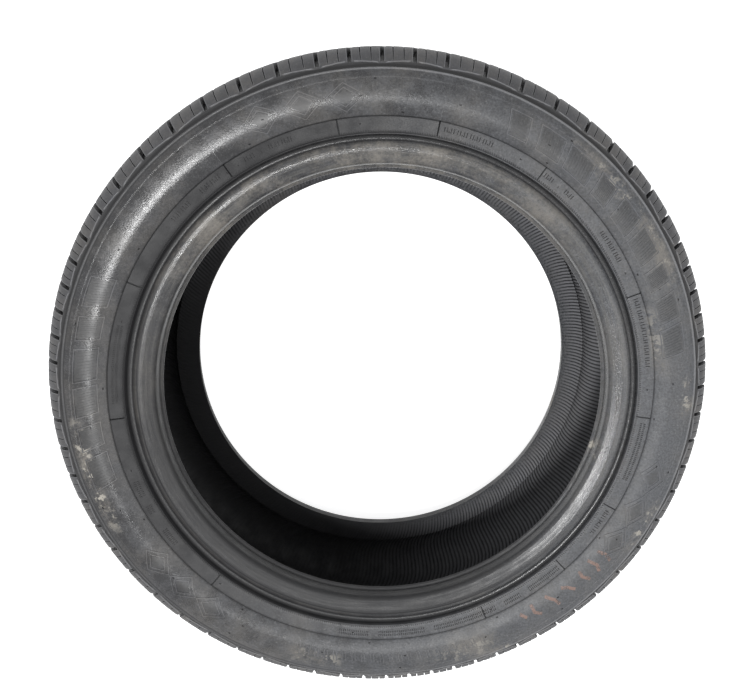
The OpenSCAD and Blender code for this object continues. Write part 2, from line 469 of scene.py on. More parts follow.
@dataclass
class TreadHalf:
    """Half of the tread, from the centre line to the shoulder's lower edge."""

    section: Section
    pitches: Pitches
    face: Face
    cross_w: float = 4.2
    cross_end_w: float = 3.6
    slant: float = 24.0
    sipe_w: float = 1.0
    sipe_depth: float = 5.0
    slot_w: float = 3.0
    edge: float = 0.45
    line_low: float = 1.3
    line_high: float = 4.3
    line_gap: float = 0.07
    even_rows_end: float = 58.0
    outer_rib_z: float = 64.0

    @property
    def bend_z(self) -> float:
        """Where the cross grooves bend."""
        return self.section.crown_half_w + 6

    @property
    def slot_end(self) -> float:
        """Where the slots in the rib beside the middle end."""
        s = self.section
        between = s.outer_groove_z - s.middle_groove_z
        return s.outer_groove_z - 0.5 * between * math.cos(math.radians(self.slant))

    @property
    def sipe_start(self) -> float:
        """Where the sipes start, beside the outer groove."""
        s = self.section
        return s.outer_groove_z + s.outer_groove_w / 2 + 0.5 * s.shoulder_r

    def _foot(self, turn: float) -> float:
        """Distance from the centre line of a point on the shoulder, some degrees above its lower edge."""
        s = self.section
        return s.shoulder_c[1] + s.shoulder_r * math.sin(math.radians(s.parting_a - turn))

    def _crown_rows(self) -> list[tuple[float, float]]:
        """Rows from the centre line to the bend of the cross grooves, with the grooves round the tyre.

        Returns:
            Distance from the centre line and radius of each row.
        """
        s, edge, foot = self.section, self.edge, 0.8
        rows = [(z, s.crown_at(z)) for z in (0, 11.5)]
        for z, w in ((s.middle_groove_z, s.middle_groove_w), (s.outer_groove_z, s.outer_groove_w)):
            half, low = w / 2, s.crown_at(z) - s.tread_depth
            inner = half - s.tread_depth * math.tan(math.radians(s.groove_wall_angle))
            rows += [(z - half - edge, s.crown_at(z - half)), (z - half, s.crown_at(z - half) - edge)]
            rows += [(z - inner - 0.1, low + foot), (z - inner + foot, low), (z, low)]
            rows += [(z + inner - foot, low), (z + inner + 0.1, low + foot)]
            rows.append((z + half, s.crown_at(z + half) - edge))
            rows.append((z + half + edge, s.crown_at(z + half)))
            if z == s.middle_groove_z:
                rib = (29, 37, self.slot_end - 0.6, self.slot_end, 46, 50, 53)
                rows += [(q, s.crown_at(q)) for q in rib]
        outer_rib = (68, 72, 76, self.sipe_start - 0.4, self.sipe_start, 84, 88.7, 89.3)
        return rows + [(q, s.tread_at(q)) for q in outer_rib]

    def _surface(self, cols: dict[str, np.ndarray]) -> tuple[np.ndarray, np.ndarray, np.ndarray]:
        """Works out the uncut surface, with the thin raised line that zigzags below the cross grooves.

        Args:
            cols: The columns, as _columns gives them.

        Returns:
            Radii, distances from the centre line, and how much of each point belongs to the line.
        """
        s, phase = self.section, cols["phase"]
        ones = np.ones(len(phase))
        crown = self._crown_rows()
        radii = [r * ones for _, r in crown]
        heights = [z * ones for z, _ in crown]
        marks = [0 * ones for _ in crown]
        swing = np.abs((phase % 2) - 1)
        drop = self.line_low + (self.line_high - self.line_low) * swing
        line = s.parting_a - np.degrees(drop / s.shoulder_r)
        near = np.minimum(np.abs(phase - np.round(phase)), self.line_gap) / self.line_gap
        first = math.degrees(math.asin((self.bend_z - s.shoulder_c[1]) / s.shoulder_r))
        even, last = self.even_rows_end, s.parting_a - 0.7
        steps = [(a * ones, 0.0, 0.0) for a in np.linspace(first, even, 18)]
        steps += [(even + share * (line - 1.9 - even), 0.0, 0.0) for share in (0.3, 0.6, 0.85)]
        steps += [(line + turn, lift, mark) for turn, lift, mark in
                  ((-1.9, 0.0, 0.0), (-1.1, 0.5, 1.0), (0.0, 0.6, 1.0), (0.8, 0.1, 0.2), (1.2, -0.2, 0.0))]
        steps += [(0.5 * (line + 1.2 + last), -0.2, 0.0), (last * ones, -0.1, 0.0)]
        steps.append((s.parting_a * ones, 0.0, 0.0))
        for a, lift, mark in steps:
            out = s.shoulder_r + lift * near
            radii.append(s.shoulder_c[0] + out * np.cos(np.radians(a)))
            heights.append(s.shoulder_c[1] + out * np.sin(np.radians(a)))
            marks.append(mark * near)
        return np.array(radii), np.array(heights), np.array(marks)

    def _cross_floor(self, z: np.ndarray) -> np.ndarray:
        """Radius of the floor of the cross grooves and slots, or a large one where there is no cut."""
        s, bend, foot = self.section, self.bend_z, self._foot(3)
        floor = np.full(z.shape, NO_CUT)
        top_z, top_r = bend - 4, s.tread_at(bend) - 0.9 * s.tread_depth
        low_r = s.shoulder_at(foot) + 0.6
        outer = top_r + (low_r - top_r) * (z - top_z) / (foot - top_z)
        floor = np.where((z >= top_z) & (z <= foot + 0.2), outer, floor)
        bend_r = s.tread_at(bend) - 0.7 * s.tread_depth
        groove_r = s.crown_at(s.outer_groove_z) - 0.85 * s.tread_depth
        slanted = bend_r + (groove_r - bend_r) * (bend - z) / (bend - s.outer_groove_z)
        floor = np.where((z >= s.outer_groove_z) & (z < bend), np.minimum(floor, slanted), floor)
        from_r = s.crown_at(s.outer_groove_z) - 0.7 * s.tread_depth
        to_r = s.crown_at(self.slot_end) - 0.6 * s.tread_depth
        slot = from_r + (to_r - from_r) * (s.outer_groove_z - z) / (s.outer_groove_z - self.slot_end)
        return np.where((z >= self.slot_end - 1e-6) & (z < s.outer_groove_z), slot, floor)

    def _sipe_floor(self, z: np.ndarray) -> np.ndarray:
        """Radius of the floor of the sipes, or a large one where there is no cut."""
        s, start, foot = self.section, self.sipe_start, self._foot(9)
        middle = s.shoulder_c[1] + 0.5 * s.shoulder_r
        deep = self.sipe_depth
        floors = [s.tread_at(start) - deep, s.shoulder_at(middle) - deep, s.shoulder_at(foot) - 0.2]
        floor = np.interp(z, [start, middle, foot], floors)
        return np.where((z >= start - 1e-6) & (z <= foot), floor, NO_CUT)

    def _columns(self) -> dict[str, np.ndarray]:
        """Works out the columns in order clockwise.

        Returns:
            Arrays of base angles, side shares, cut kinds, levels and phases.
        """
        starts = self.pitches.starts()
        across_cross = ((-1.6, 0), (-1, 0.5), (-0.9, 1), (0.9, 1), (1, 0.5), (1.6, 0))
        across_sipe = ((-2.2, 0), (-1, 0.5), (-0.85, 1), (0.85, 1), (1, 0.5), (2.2, 0))
        rows: list[tuple[float, float, int, float, float]] = []
        for k in range(len(starts) - 1):
            here, step = starts[k], starts[k] - starts[k + 1]
            rows += [(here, side, Cut.CROSS, level, k) for side, level in across_cross]
            rows.append((here - step / 6, 0, Cut.BLOCK, 0, k + 1 / 6))
            for share in (1 / 3, 2 / 3):
                at = here - share * step
                rows += [(at, side, Cut.SIPE, level, k + share) for side, level in across_sipe]
                rows.append((here - (share + 1 / 6) * step, 0, Cut.BLOCK, 0, k + share + 1 / 6))
        base, side, kind, level, phase = (np.array(v, float) for v in zip(*rows))
        return {"base": base, "side": side, "kind": kind, "level": level, "phase": phase}

    def build(self) -> bpy.types.Object:
        """Builds the half tread as a closed skin, with its cuts as deep as the solid's.

        Returns:
            The new object.
        """
        s, cols = self.section, self._columns()
        base, side, kind, level = cols["base"], cols["side"], cols["kind"], cols["level"]
        radii, heights, marks = self._surface(cols)
        lean = math.radians(self.slant)
        tan_slant, cos_slant = math.tan(lean), math.cos(lean)
        tread = np.vectorize(s.tread_at)(heights)
        groove = (radii < tread - 2) & (heights < 70)
        half = np.where(heights >= self.bend_z - 4, self.cross_w, self.cross_end_w / cos_slant)
        half = np.where(heights < s.outer_groove_z, self.slot_w / cos_slant, half) / 2
        shift = np.clip(self.bend_z - heights, 0, None) * tan_slant
        slot_shift = -np.minimum(s.outer_groove_z - heights, s.outer_groove_z - self.slot_end) * tan_slant
        shift = np.where(heights < s.outer_groove_z, slot_shift, shift)
        shift = np.where(heights < s.middle_groove_z, 0.0, shift)
        sipe_shift = np.clip(shift - (self.bend_z - self.sipe_start) * tan_slant, 0, None)
        sipe_shift = np.where(heights > self.outer_rib_z, sipe_shift, 0.0)
        cross, sipe = kind == Cut.CROSS, kind == Cut.SIPE
        block_shift = 0.5 * np.where(heights < self.outer_rib_z, shift, sipe_shift)
        move = np.where(cross, shift, np.where(sipe, sipe_shift, block_shift))
        half = np.where(sipe, self.sipe_w / 2, half)
        deep = np.where(sipe, radii - self._sipe_floor(heights), 0.0)
        deep = np.clip(np.where(cross, radii - self._cross_floor(heights), deep), 0, None)
        lip = np.minimum(deep, np.where(cross, self.edge, 0.3))
        drop = np.where(level > 0.9, deep, np.where(level > 0.4, lip, 0.0))
        angle = np.radians(base) - (side * half + move) / radii
        # The raised line and the groove lips get paler: partly wear, partly painted highlight.
        wear = np.maximum(marks, ((level > 0.4) & (level < 0.9) & (deep > 0.3)).astype(float) * 0.7)
        # Groove floors and deep cuts get painted shade.
        pit = np.maximum(np.where(level > 0.9, np.clip(deep / 1.2, 0, 1), 0), groove.astype(float))
        # The last rows, in the groove by the shoulder's lower edge, get painted shade too.
        pit[-4:] = np.maximum(pit[-4:], np.array([[0.4], [0.8], [0.9], [0.9]]))
        back = np.array([(350.5, 108.5), (355.0, 103.0), (358.5, 90.0), (363.2, 70.0), (366.0, 0.0)])
        radii = np.concatenate([radii - drop, np.repeat(back[:, :1], len(base), 1)])
        heights = np.concatenate([heights, np.repeat(back[:, 1:], len(base), 1)])
        angle = np.concatenate([angle, np.repeat((np.radians(base) - side * 2 / 380)[None, :], len(back), 0)])
        blank = np.zeros((len(back), len(base)))
        rings = turn_out(radii, heights, np.minimum.accumulate(angle, axis=1), self.face)
        masks = {"wear": np.concatenate([wear, blank]), "pit": np.concatenate([pit, blank])}
        return shell(f"tread_{self.face.name.lower()}", rings, masks)


@dataclass
class Wall:
    """One sidewall with its bead, from the shoulder's lower edge to the toe."""

    section: Section
    face: Face
    sector_lines: tuple[float, ...] = ()
    steps: int = 480
    line_depth: float = 0.5

    def path(self) -> np.ndarray:
        """Outline of the wall in the section, with softened corners.

        Returns:
            Points as radius and distance from the centre line.
        """
        s = self.section

        def side(first: float, last: float, count: int, out: float = 0.0) -> list[tuple[float, ...]]:
            """Points on the sidewall between two radii."""
            return [tuple(p) for p in s.on_side(np.linspace(first, last, count), out)]

        rib_out, line = s.rib_r + s.fine_rib, s.band_line_r
        points: list[Sequence[float]] = [(s.parting_r, s.parting_z)]
        points += [tuple(s.on_side(s.parting_r - s.shoulder_groove, -s.shoulder_groove)),
                   tuple(s.on_side(rib_out, -s.shoulder_groove))]
        rib_start, rib_end = float(s.facing(rib_out)) - 60, float(s.facing(s.rib_r)) + 45
        points += arc(s.on_side(s.rib_r), s.fine_rib, rib_start, rib_end, 7)
        points += side(s.rib_r - 1.5 * s.fine_rib, s.rib_band_r, 7, s.band_step)
        points += side(s.rib_band_r - 0.2, line + s.fine_groove, 30)
        line_z = float(s.side_z(line))
        points += [(line, line_z - s.fine_groove), (line - s.fine_groove, line_z)]
        band = np.linspace(line - 3, s.protector_r + 3 * s.fine_groove, 5)
        points += [tuple(p) for p in s.on_text_band(band)]
        points += [(s.protector_r + 2 * s.fine_groove, s.protector_z - s.fine_groove),
                   (s.protector_r + s.fine_groove, s.protector_z), (s.protector_r, s.protector_z)]
        points += arc(s.flange_c, s.flange_hollow_r, 354, s.bulge_a, 12)
        points += arc(s.bulge_c, s.bead_bulge_r, s.bulge_a - 176, s.face_a, 9)
        points += arc(s.heel_c, s.heel_r, s.face_a, 180, 8)
        seat_z = s.heel_c[1] - s.seat_len
        points += [(s.seat_r, seat_z + 0.5 * s.seat_len), (s.seat_r, seat_z),
                   (s.seat_r + s.fine_groove, seat_z - s.fine_groove),
                   (s.toe_r + s.toe_lip / 3, s.toe_z + s.toe_len / 2), (s.toe_r, s.toe_z + s.toe_len / 4),
                   (s.toe_r, s.toe_z)]
        return soften(points, 0.35)

    def build(self) -> bpy.types.Object:
        """Builds the wall as a closed skin, with its fine sector lines.

        Returns:
            The new object.
        """
        s, path = self.section, self.path()
        back = np.array([(255.5, 79.2), (284.0, 88.5), (290.5, 99.0), (301.0, 108.0), (324.0, 113.5),
                         (342.0, 109.0), (350.5, 107.0)])
        full = np.concatenate([path, back])
        angle = list(np.arange(self.steps) * 360 / self.steps)
        cut = [0.0] * len(angle)
        for line in self.sector_lines:
            for offset, depth in ((-0.16, 0.0), (-0.08, 1.0), (0.0, 1.3), (0.08, 1.0), (0.16, 0.0)):
                angle.append((line + offset) % 360)
                cut.append(depth)
        order = np.argsort(angle)
        angle_r, cut_d = np.radians(np.array(angle)[order]), np.array(cut)[order]
        in_band = ((full[:, 0] > s.protector_r + 2.2) & (full[:, 0] < s.band_line_r + 0.1)).astype(float)
        in_band[len(path):] = 0
        drop = np.outer(in_band, cut_d) * self.line_depth
        radii = np.repeat(full[:, :1], len(angle_r), 1)
        heights = np.repeat(full[:, 1:], len(angle_r), 1) - drop
        rings = turn_out(radii, heights, np.broadcast_to(angle_r, radii.shape), self.face)
        step = np.diff(full, axis=0, prepend=full[-1:])
        ahead = np.roll(step, -1, 0)
        cross = step[:, 0] * ahead[:, 1] - step[:, 1] * ahead[:, 0]
        bend = np.degrees(np.arctan2(cross, (step * ahead).sum(1)))
        # Convex bends get paler, the rib's edge line most of all: partly wear, partly painted highlight.
        edges = np.clip((bend - 12) / 25, 0, 1)
        edges[len(path):] = 0
        under = s.on_side(full[:, 0])[:, 1] - full[:, 1]
        parting = (full[:, 0] > s.rib_r - 0.7) & (under > 0.7)
        edges[(full[:, 0] > 300) & (full[:, 0] < s.rib_r - 2)] *= 0.15
        edges[(np.abs(full[:, 0] - s.rib_r) < 0.9) & (under < 0.5)] = 1.0
        hollow = (full[:, 0] > s.flange_c[0] - 2) & (full[:, 0] < s.protector_r - 0.2)
        hollow &= full[:, 1] < s.protector_z - 1.5
        fine = (np.abs(full[:, 0] - s.band_line_r) < 0.4) & (under > 0.3)
        # The parting groove, the flange hollow, the fine line and the sector lines get painted shade.
        rows = np.maximum(parting, 0.8 * hollow) + 0.8 * fine
        rows[len(path):] = 0
        wear = np.repeat(edges[:, None], len(angle_r), 1) * (1 - np.clip(drop, 0, 1))
        pit = np.clip(np.repeat(rows[:, None], len(angle_r), 1) + drop * 2, 0, 1)
        return shell(f"wall_{self.face.name.lower()}", rings, {"wear": wear, "pit": pit})


@dataclass
class Liner:
    """The air side, from toe to toe, with the slanting ridges that the curing bladder leaves."""

    section: Section
    ridges: int = 372
    height: float = 0.7
    skin_t: float = 2.6
    middle_r: float = 305.0
    lean: float = 17.0
    profile: tuple[float, ...] = (0.0, 0.55, 1.0, 0.55)

    def path(self) -> np.ndarray:
        """Outline of the air side from the outer toe to the inner toe.

        Returns:
            Points as radius and distance from the centre line.
        """
        s = self.section
        inner_r = s.crown_r - s.tread_depth - s.undertread_t
        turn = math.radians(s.shoulder_angle)
        end = np.array([s.crown_c + inner_r * math.cos(turn), inner_r * math.sin(turn)])
        top = np.array([s.belly_r - s.liner_inset, s.half_w - s.sidewall_t])
        apex = np.array([s.protector_r, s.toe_z + s.apex_rise])
        toe = np.array([s.toe_r, s.toe_z])
        half = [tuple(toe + (apex - toe) * t) for t in (0, 0.04, 0.35, 0.7, 0.9)]
        half += oval((top[0], apex[1]), top - apex, 180, 90, 8)
        half += oval((top[0], end[1]), (end[0] - top[0], top[1] - end[1]), 80, 0, 6)
        half += arc((s.crown_c, 0), inner_r, 0.85 * s.shoulder_angle, 0.12 * s.shoulder_angle, 3)
        points = np.array(half)
        return np.concatenate([points, points[::-1] * [1, -1]])

    def build(self) -> bpy.types.Object:
        """Builds the air side as a thin closed skin with real ridges.

        Returns:
            The new object.
        """
        path = self.path()
        step = np.gradient(path, axis=0)
        step /= np.hypot(step[:, 0], step[:, 1])[:, None]
        normal = np.stack([step[:, 1], -step[:, 0]], -1)
        if (normal[:, 0] * (path[:, 0] - self.middle_r)).sum() > 0:
            normal = -normal
        run = np.concatenate([[0], np.cumsum(np.hypot(*np.diff(path, axis=0).T))])
        share = run / run[-1]
        lean = self.lean * (share - 0.5) + 2.2 * np.sin(2 * np.pi * share) + 0.7 * np.sin(9 * np.pi * share)
        per = len(self.profile)
        cols = self.ridges * per
        base = np.arange(cols) * 360 / cols
        profile = np.array(self.profile)[np.arange(cols) % per]
        fade = np.clip(np.minimum(run, run[-1] - run) / 14 - 0.25, 0, 1)
        lift = np.outer(fade, profile) * self.height
        hidden = np.arange(len(path))[::-1][2:-2:3]
        back = np.repeat((path - normal * self.skin_t)[hidden][:, None], cols, 1)
        radii = np.concatenate([path[:, :1] + normal[:, :1] * lift, back[:, :, 0]])
        heights = np.concatenate([path[:, 1:] + normal[:, 1:] * lift, back[:, :, 1]])
        face_angle = np.radians(base[None, :] + lean[:, None])
        angle = np.concatenate([face_angle, np.radians(base)[None, :] + np.radians(lean[hidden])[:, None]])
        rings = turn_out(radii, heights, angle, Face.OUTER)
        # Ridge tops get paler: a painted highlight.
        wear = np.zeros(radii.shape)
        wear[: len(path)] = np.outer(fade, profile)
        # The valleys between the ridges get painted shade.
        pit = np.zeros(radii.shape)
        pit[: len(path)] = np.outer(fade, np.clip(1 - 1.8 * profile, 0, 1))
        return shell("liner", rings, {"wear": wear, "pit": pit})


@dataclass(frozen=True)
class Ridge:
    """A thin raised line that follows the outer wall."""

    route: tuple[tuple[float, float], ...]
    width: float = 0.9
    height: float = 0.35
    closed: bool = False

    def _spread(self) -> np.ndarray:
        """Route with points at most 3 mm apart, as arc length at a fixed radius and radius."""
        flat = np.array([(math.radians(a) * MARK_R, r) for a, r in self.route])
        ends = np.concatenate([flat, flat[:1]]) if self.closed else flat
        out = []
        for one, two in zip(ends[:-1], ends[1:]):
            count = max(1, int(math.ceil(math.hypot(*(two - one)) / 3.0)))
            out += [one + (two - one) * k / count for k in range(count)]
        if not self.closed:
            out.append(ends[-1])
        return np.array(out)

    def mesh(self, section: Section) -> Part:
        """Builds the closed strip.

        Args:
            section: The section that it follows.

        Returns:
            Points in metres and the corner numbers of each face.
        """
        flat = self._spread()
        ahead = np.roll(flat, -1, 0) - flat
        if not self.closed:
            ahead[-1] = ahead[-2]
        ahead /= np.hypot(ahead[:, 0], ahead[:, 1])[:, None]
        behind = np.roll(ahead, 1, 0)
        if not self.closed:
            behind[0] = ahead[0]
        mean = ahead + behind
        mean /= np.maximum(np.hypot(mean[:, 0], mean[:, 1]), 1e-6)[:, None]
        mitre = 1 / np.clip((mean * ahead).sum(1), 0.6, 1)
        side = np.stack([-mean[:, 1], mean[:, 0]], -1) * mitre[:, None]
        rows = []
        for share, lift in ((0.5, -MARK_ROOT), (0.32, self.height), (-0.32, self.height), (-0.5, -MARK_ROOT)):
            spot = flat + side * share * self.width
            point = section.surface(spot[:, 1], lift)
            rows.append(turn_out(point[:, 0], point[:, 1], -spot[:, 0] / MARK_R, Face.OUTER))
        points = np.stack(rows, 1).reshape(-1, 3)
        n = len(flat)
        faces = []
        for i in range(n if self.closed else n - 1):
            here, there = 4 * i, 4 * ((i + 1) % n)
            faces += [[here + k, here + (k + 1) % 4, there + (k + 1) % 4, there + k] for k in range(4)]
        if not self.closed:
            faces += [[3, 2, 1, 0], [4 * n - 4, 4 * n - 3, 4 * n - 2, 4 * n - 1]]
        return points, outward(points, faces)


@dataclass(frozen=True)
class Plate:
    """A thin field between two radii of the outer wall, with four corners."""

    foot: tuple[float, float, float]
    top: tuple[float, float, float]
    height: float = 0.12
    across: int = 4
    along: int = 9

    def mesh(self, section: Section) -> Part:
        """Builds the closed plate.

        Args:
            section: The section that it follows.

        Returns:
            Points in metres and the corner numbers of each face.
        """
        u, v = np.meshgrid(np.linspace(0, 1, self.across), np.linspace(0, 1, self.along))
        left = self.foot[0] + (self.top[0] - self.foot[0]) * v
        right = self.foot[1] + (self.top[1] - self.foot[1]) * v
        angle = np.radians(left + (right - left) * u).ravel()
        radius = (self.foot[2] + (self.top[2] - self.foot[2]) * v).ravel()
        layers = []
        for lift in (self.height, -MARK_ROOT):
            point = section.surface(radius, lift)
            layers.append(turn_out(point[:, 0], point[:, 1], -angle, Face.OUTER))
        n, m, w = self.across, self.along, self.across * self.along
        starts = [j * n + i for j in range(m - 1) for i in range(n - 1)]
        quads = [[k, k + 1, k + n + 1, k + n] for k in starts]
        faces = quads + [[k + w for k in q[::-1]] for q in quads]
        edge = list(range(n)) + [j * n + n - 1 for j in range(1, m)]
        edge += [(m - 1) * n + i for i in range(n - 2, -1, -1)] + [j * n for j in range(m - 2, 0, -1)]
        faces += [[b, a, a + w, b + w] for a, b in zip(edge, edge[1:] + edge[:1])]
        points = np.concatenate(layers)
        return points, outward(points, faces)


def combine(name: str, members: Sequence[Part], sharp: float = 30.0) -> bpy.types.Object:
    """Joins some meshes into one object.

    Args:
        name: Name of the piece.
        members: Points and four-cornered faces of each member.
        sharp: Edges that turn by more than this angle in degrees stay sharp.

    Returns:
        The new object.
    """
    starts = np.cumsum([0] + [len(points) for points, _ in members])
    faces = np.concatenate([faces + start for (_, faces), start in zip(members, starts)])
    return plain_mesh(name, np.concatenate([points for points, _ in members]), faces, sharp=sharp)


class Value:
    """An output of a node that can be reckoned with. Each operation adds a Math node to its tree."""

    def __init__(self, graph: Graph, socket: bpy.types.NodeSocket) -> None:
        """Keeps the graph and the socket."""
        self.graph = graph
        self.socket = socket

    def _with(self, operation: str, *values: object, clamp: bool = False) -> Value:
        """Adds a Math node over some values."""
        return self.graph.math(operation, *values, clamp=clamp)

    def __add__(self, other: object) -> Value:
        """Sum."""
        return self._with("ADD", self, other)

    def __sub__(self, other: object) -> Value:
        """Difference."""
        return self._with("SUBTRACT", self, other)

    def __rsub__(self, other: object) -> Value:
        """Difference, with the plain number first."""
        return self._with("SUBTRACT", other, self)

    def __mul__(self, other: object) -> Value:
        """Product."""
        return self._with("MULTIPLY", self, other)

    def __truediv__(self, other: object) -> Value:
        """Quotient."""
        return self._with("DIVIDE", self, other)

    def __abs__(self) -> Value:
        """Absolute value."""
        return self._with("ABSOLUTE", self)

    def clamped(self) -> Value:
        """The same value, kept between 0 and 1."""
        return self._with("ADD", self, 0.0, clamp=True)


class Graph:
    """Adds and wires the nodes of one tree."""

    def __init__(self, tree: bpy.types.NodeTree) -> None:
        """Keeps the tree and starts it empty."""
        self.tree = tree
        tree.nodes.clear()

    def add(self, kind: str, **settings: object) -> bpy.types.Node:
        """Adds a node of a kind, with its properties set."""
        node = self.tree.nodes.new(kind)
        for key, value in settings.items():
            setattr(node, key, value)
        return node

    def group(self, tree: bpy.types.NodeTree, **inputs: object) -> dict[str, Value]:
        """Adds a node group, feeds its inputs and gives its outputs by name."""
        node = self.add("ShaderNodeGroup", node_tree=tree)
        for key, value in inputs.items():
            self.link(value, node.inputs[key.replace("_", " ").title()])
        return {socket.name: Value(self, socket) for socket in node.outputs}

    def link(self, source: object, target: bpy.types.NodeSocket) -> None:
        """Feeds a socket from a value or another socket, or sets it to a plain value."""
        source = source.socket if isinstance(source, Value) else source
        if isinstance(source, bpy.types.NodeSocket):
            self.tree.links.new(source, target)
        else:
            target.default_value = source

    def math(self, operation: str, *values: object, clamp: bool = False) -> Value:
        """Adds a Math node over its values and gives its output."""
        node = self.add("ShaderNodeMath", operation=operation, use_clamp=clamp)
        for value, socket in zip(values, node.inputs):
            self.link(value, socket)
        return Value(self, node.outputs[0])

    def mix(self, share: object, one: object, two: object) -> Value:
        """Mixes two colours by a share and gives the colour."""
        node = self.add("ShaderNodeMix", data_type="RGBA")
        for value, place in ((share, 0), (one, 6), (two, 7)):
            self.link(value, node.inputs[place])
        return Value(self, node.outputs[2])

    def noise(self, vector: object, scale: object, detail: float = 3.0, rough: float = 0.55) -> Value:
        """Adds a noise texture and gives its value."""
        node = self.add("ShaderNodeTexNoise")
        for key, value in (("Vector", vector), ("Scale", scale), ("Detail", detail), ("Roughness", rough)):
            self.link(value, node.inputs[key])
        return Value(self, node.outputs[0])

    def between(self, value: object, low: object, high: object) -> Value:
        """Turns a value into a smooth share that is 0 at low and 1 at high."""
        node = self.add("ShaderNodeMapRange", interpolation_type="SMOOTHSTEP")
        for key, item in (("Value", value), ("From Min", low), ("From Max", high)):
            self.link(item, node.inputs[key])
        return Value(self, node.outputs[0])

    def attribute(self, name: str) -> Value:
        """Reads a point attribute of the mesh."""
        return Value(self, self.add("ShaderNodeAttribute", attribute_name=name).outputs["Fac"])

    def toward(self, angle: Value, degrees: float) -> Value:
        """Cosine of the turn between an angle and a direction, both in degrees."""
        return self.math("COSINE", self.math("RADIANS", angle - degrees))

    def length(self, x: Value, y: Value) -> Value:
        """Distance of a point from the spin axis."""
        return self.math("SQRT", x * x + y * y)

    def parts(self, vector: object) -> list[Value]:
        """Splits a vector into its three parts."""
        node = self.add("ShaderNodeSeparateXYZ")
        self.link(vector, node.inputs[0])
        return [Value(self, socket) for socket in node.outputs]


def group_tree(
    name: str, inputs: dict[str, object], outputs: Sequence[str]
) -> tuple[bpy.types.NodeTree, Graph, dict, dict]:
    """Starts a shader node group with named sockets.

    Args:
        name: Name of the group.
        inputs: Default value of each input by name: a number, a colour of four numbers, or None for a vector.
        outputs: Names of the outputs. Position is a vector, Color a colour, and the others are numbers.

    Returns:
        The tree, its graph, the input values by name and the output sockets by name.
    """
    tree = bpy.data.node_groups.new(name, "ShaderNodeTree")
    graph = Graph(tree)
    for label, value in inputs.items():
        kind = "Vector" if value is None else "Color" if isinstance(value, tuple) else "Float"
        socket = tree.interface.new_socket(label, in_out="INPUT", socket_type=f"NodeSocket{kind}")
        if value is not None:
            socket.default_value = value
    for label in outputs:
        kind = {"Position": "Vector", "Color": "Color"}.get(label, "Float")
        tree.interface.new_socket(label, in_out="OUTPUT", socket_type=f"NodeSocket{kind}")
    source, target = graph.add("NodeGroupInput"), graph.add("NodeGroupOutput")
    values = {s.name: Value(graph, s) for s in source.outputs}
    return tree, graph, values, {s.name: s for s in target.inputs}


class Effects:
    """The shader node groups that the tyre's finishes share."""

    def __init__(self) -> None:
        """Builds each group once."""
        self.place = self._place()
        self.grain = self._grain()
        self.dust = self._dust()
        self.patch = self._patch()
        self.streaks = self._streaks()

    @staticmethod
    def _place() -> bpy.types.NodeTree:
        """Gives the radius in metres and the clockwise angle in degrees of a point."""
        tree, g, _, out = group_tree("ring_place", {}, ("Radius", "Angle", "Position"))
        spot = g.add("ShaderNodeTexCoord").outputs["Object"]
        x, y, _ = g.parts(spot)
        g.link(g.length(x, y), out["Radius"])
        turn = g.math("ARCTAN2", y * -1.0, x) * math.degrees(1)
        g.link(g.math("MODULO", turn + 720.0, 360.0), out["Angle"])
        g.link(spot, out["Position"])
        return tree

    @staticmethod
    def _grain() -> bpy.types.NodeTree:
        """Gives the height of the moulded skin, as fine grain and soft waves, and a tone that follows it."""
        inputs = {"Position": None, "Grain Scale": 900.0, "Wave Scale": 60.0, "Grain": 0.4, "Waves": 0.5}
        tree, g, src, out = group_tree("rubber_grain", inputs, ("Height", "Tone"))
        fine = g.noise(src["Position"], src["Grain Scale"], 4.0, 0.65)
        waves = g.noise(src["Position"], src["Wave Scale"], 3.0, 0.5)
        g.link(fine * src["Grain"] + waves * src["Waves"], out["Height"])
        g.link(fine * 0.5 + waves * 0.5, out["Tone"])
        return tree

    @staticmethod
    def _dust() -> bpy.types.NodeTree:
        """Lays patchy dust over a colour."""
        inputs = {"Position": None, "Clean": (0.05, 0.05, 0.05, 1), "Dust": (0.2, 0.18, 0.15, 1),
                  "Amount": 0.3, "Scale": 18.0}
        tree, g, src, out = group_tree("rubber_dust", inputs, ("Color", "Cover"))
        broad = g.noise(src["Position"], src["Scale"], 5.0, 0.62)
        fine = g.noise(src["Position"], src["Scale"] * 14.0, 4.0, 0.7)
        patch = g.between(broad * 0.7 + fine * 0.3, 0.42, 0.68)
        cover = g.math("MULTIPLY", patch, src["Amount"], clamp=True)
        g.link(g.mix(cover, src["Clean"], src["Dust"]), out["Color"])
        g.link(cover, out["Cover"])
        return tree

    @staticmethod
    def _streaks() -> bpy.types.NodeTree:
        """Gives streaks that run round the ring, as rubbing on a rim leaves them."""
        inputs = {"Position": None, "Across": 700.0, "Along": 5.0}
        tree, g, src, out = group_tree("ring_streaks", inputs, ("Value",))
        x, y, z = g.parts(src["Position"])
        radius = g.length(x, y)
        join = g.add("ShaderNodeCombineXYZ")
        around = (x / radius * src["Along"], y / radius * src["Along"])
        for value, socket in zip((*around, (z - radius) * src["Across"]), join.inputs):
            g.link(value, socket)
        g.link(g.noise(join.outputs[0], 1.0, 4.0, 0.6), out["Value"])
        return tree

    @staticmethod
    def _patch() -> bpy.types.NodeTree:
        """Gives a soft mask round an angle and a radius on the wall."""
        inputs = {"Radius": 0.3, "Angle": 0.0, "At Radius": 0.325, "Radius Reach": 0.015, "At Angle": 90.0,
                  "Angle Reach": 10.0}
        tree, g, src, out = group_tree("wall_patch", inputs, ("Mask",))
        off = abs(src["Radius"] - src["At Radius"])
        turn = abs(src["Angle"] - src["At Angle"])
        wrap = g.math("MINIMUM", turn, 360.0 - turn)
        across = g.between(off / src["Radius Reach"], 1.0, 0.2)
        along = g.between(wrap / src["Angle Reach"], 1.0, 0.3)
        g.link(across * along, out["Mask"])
        return tree


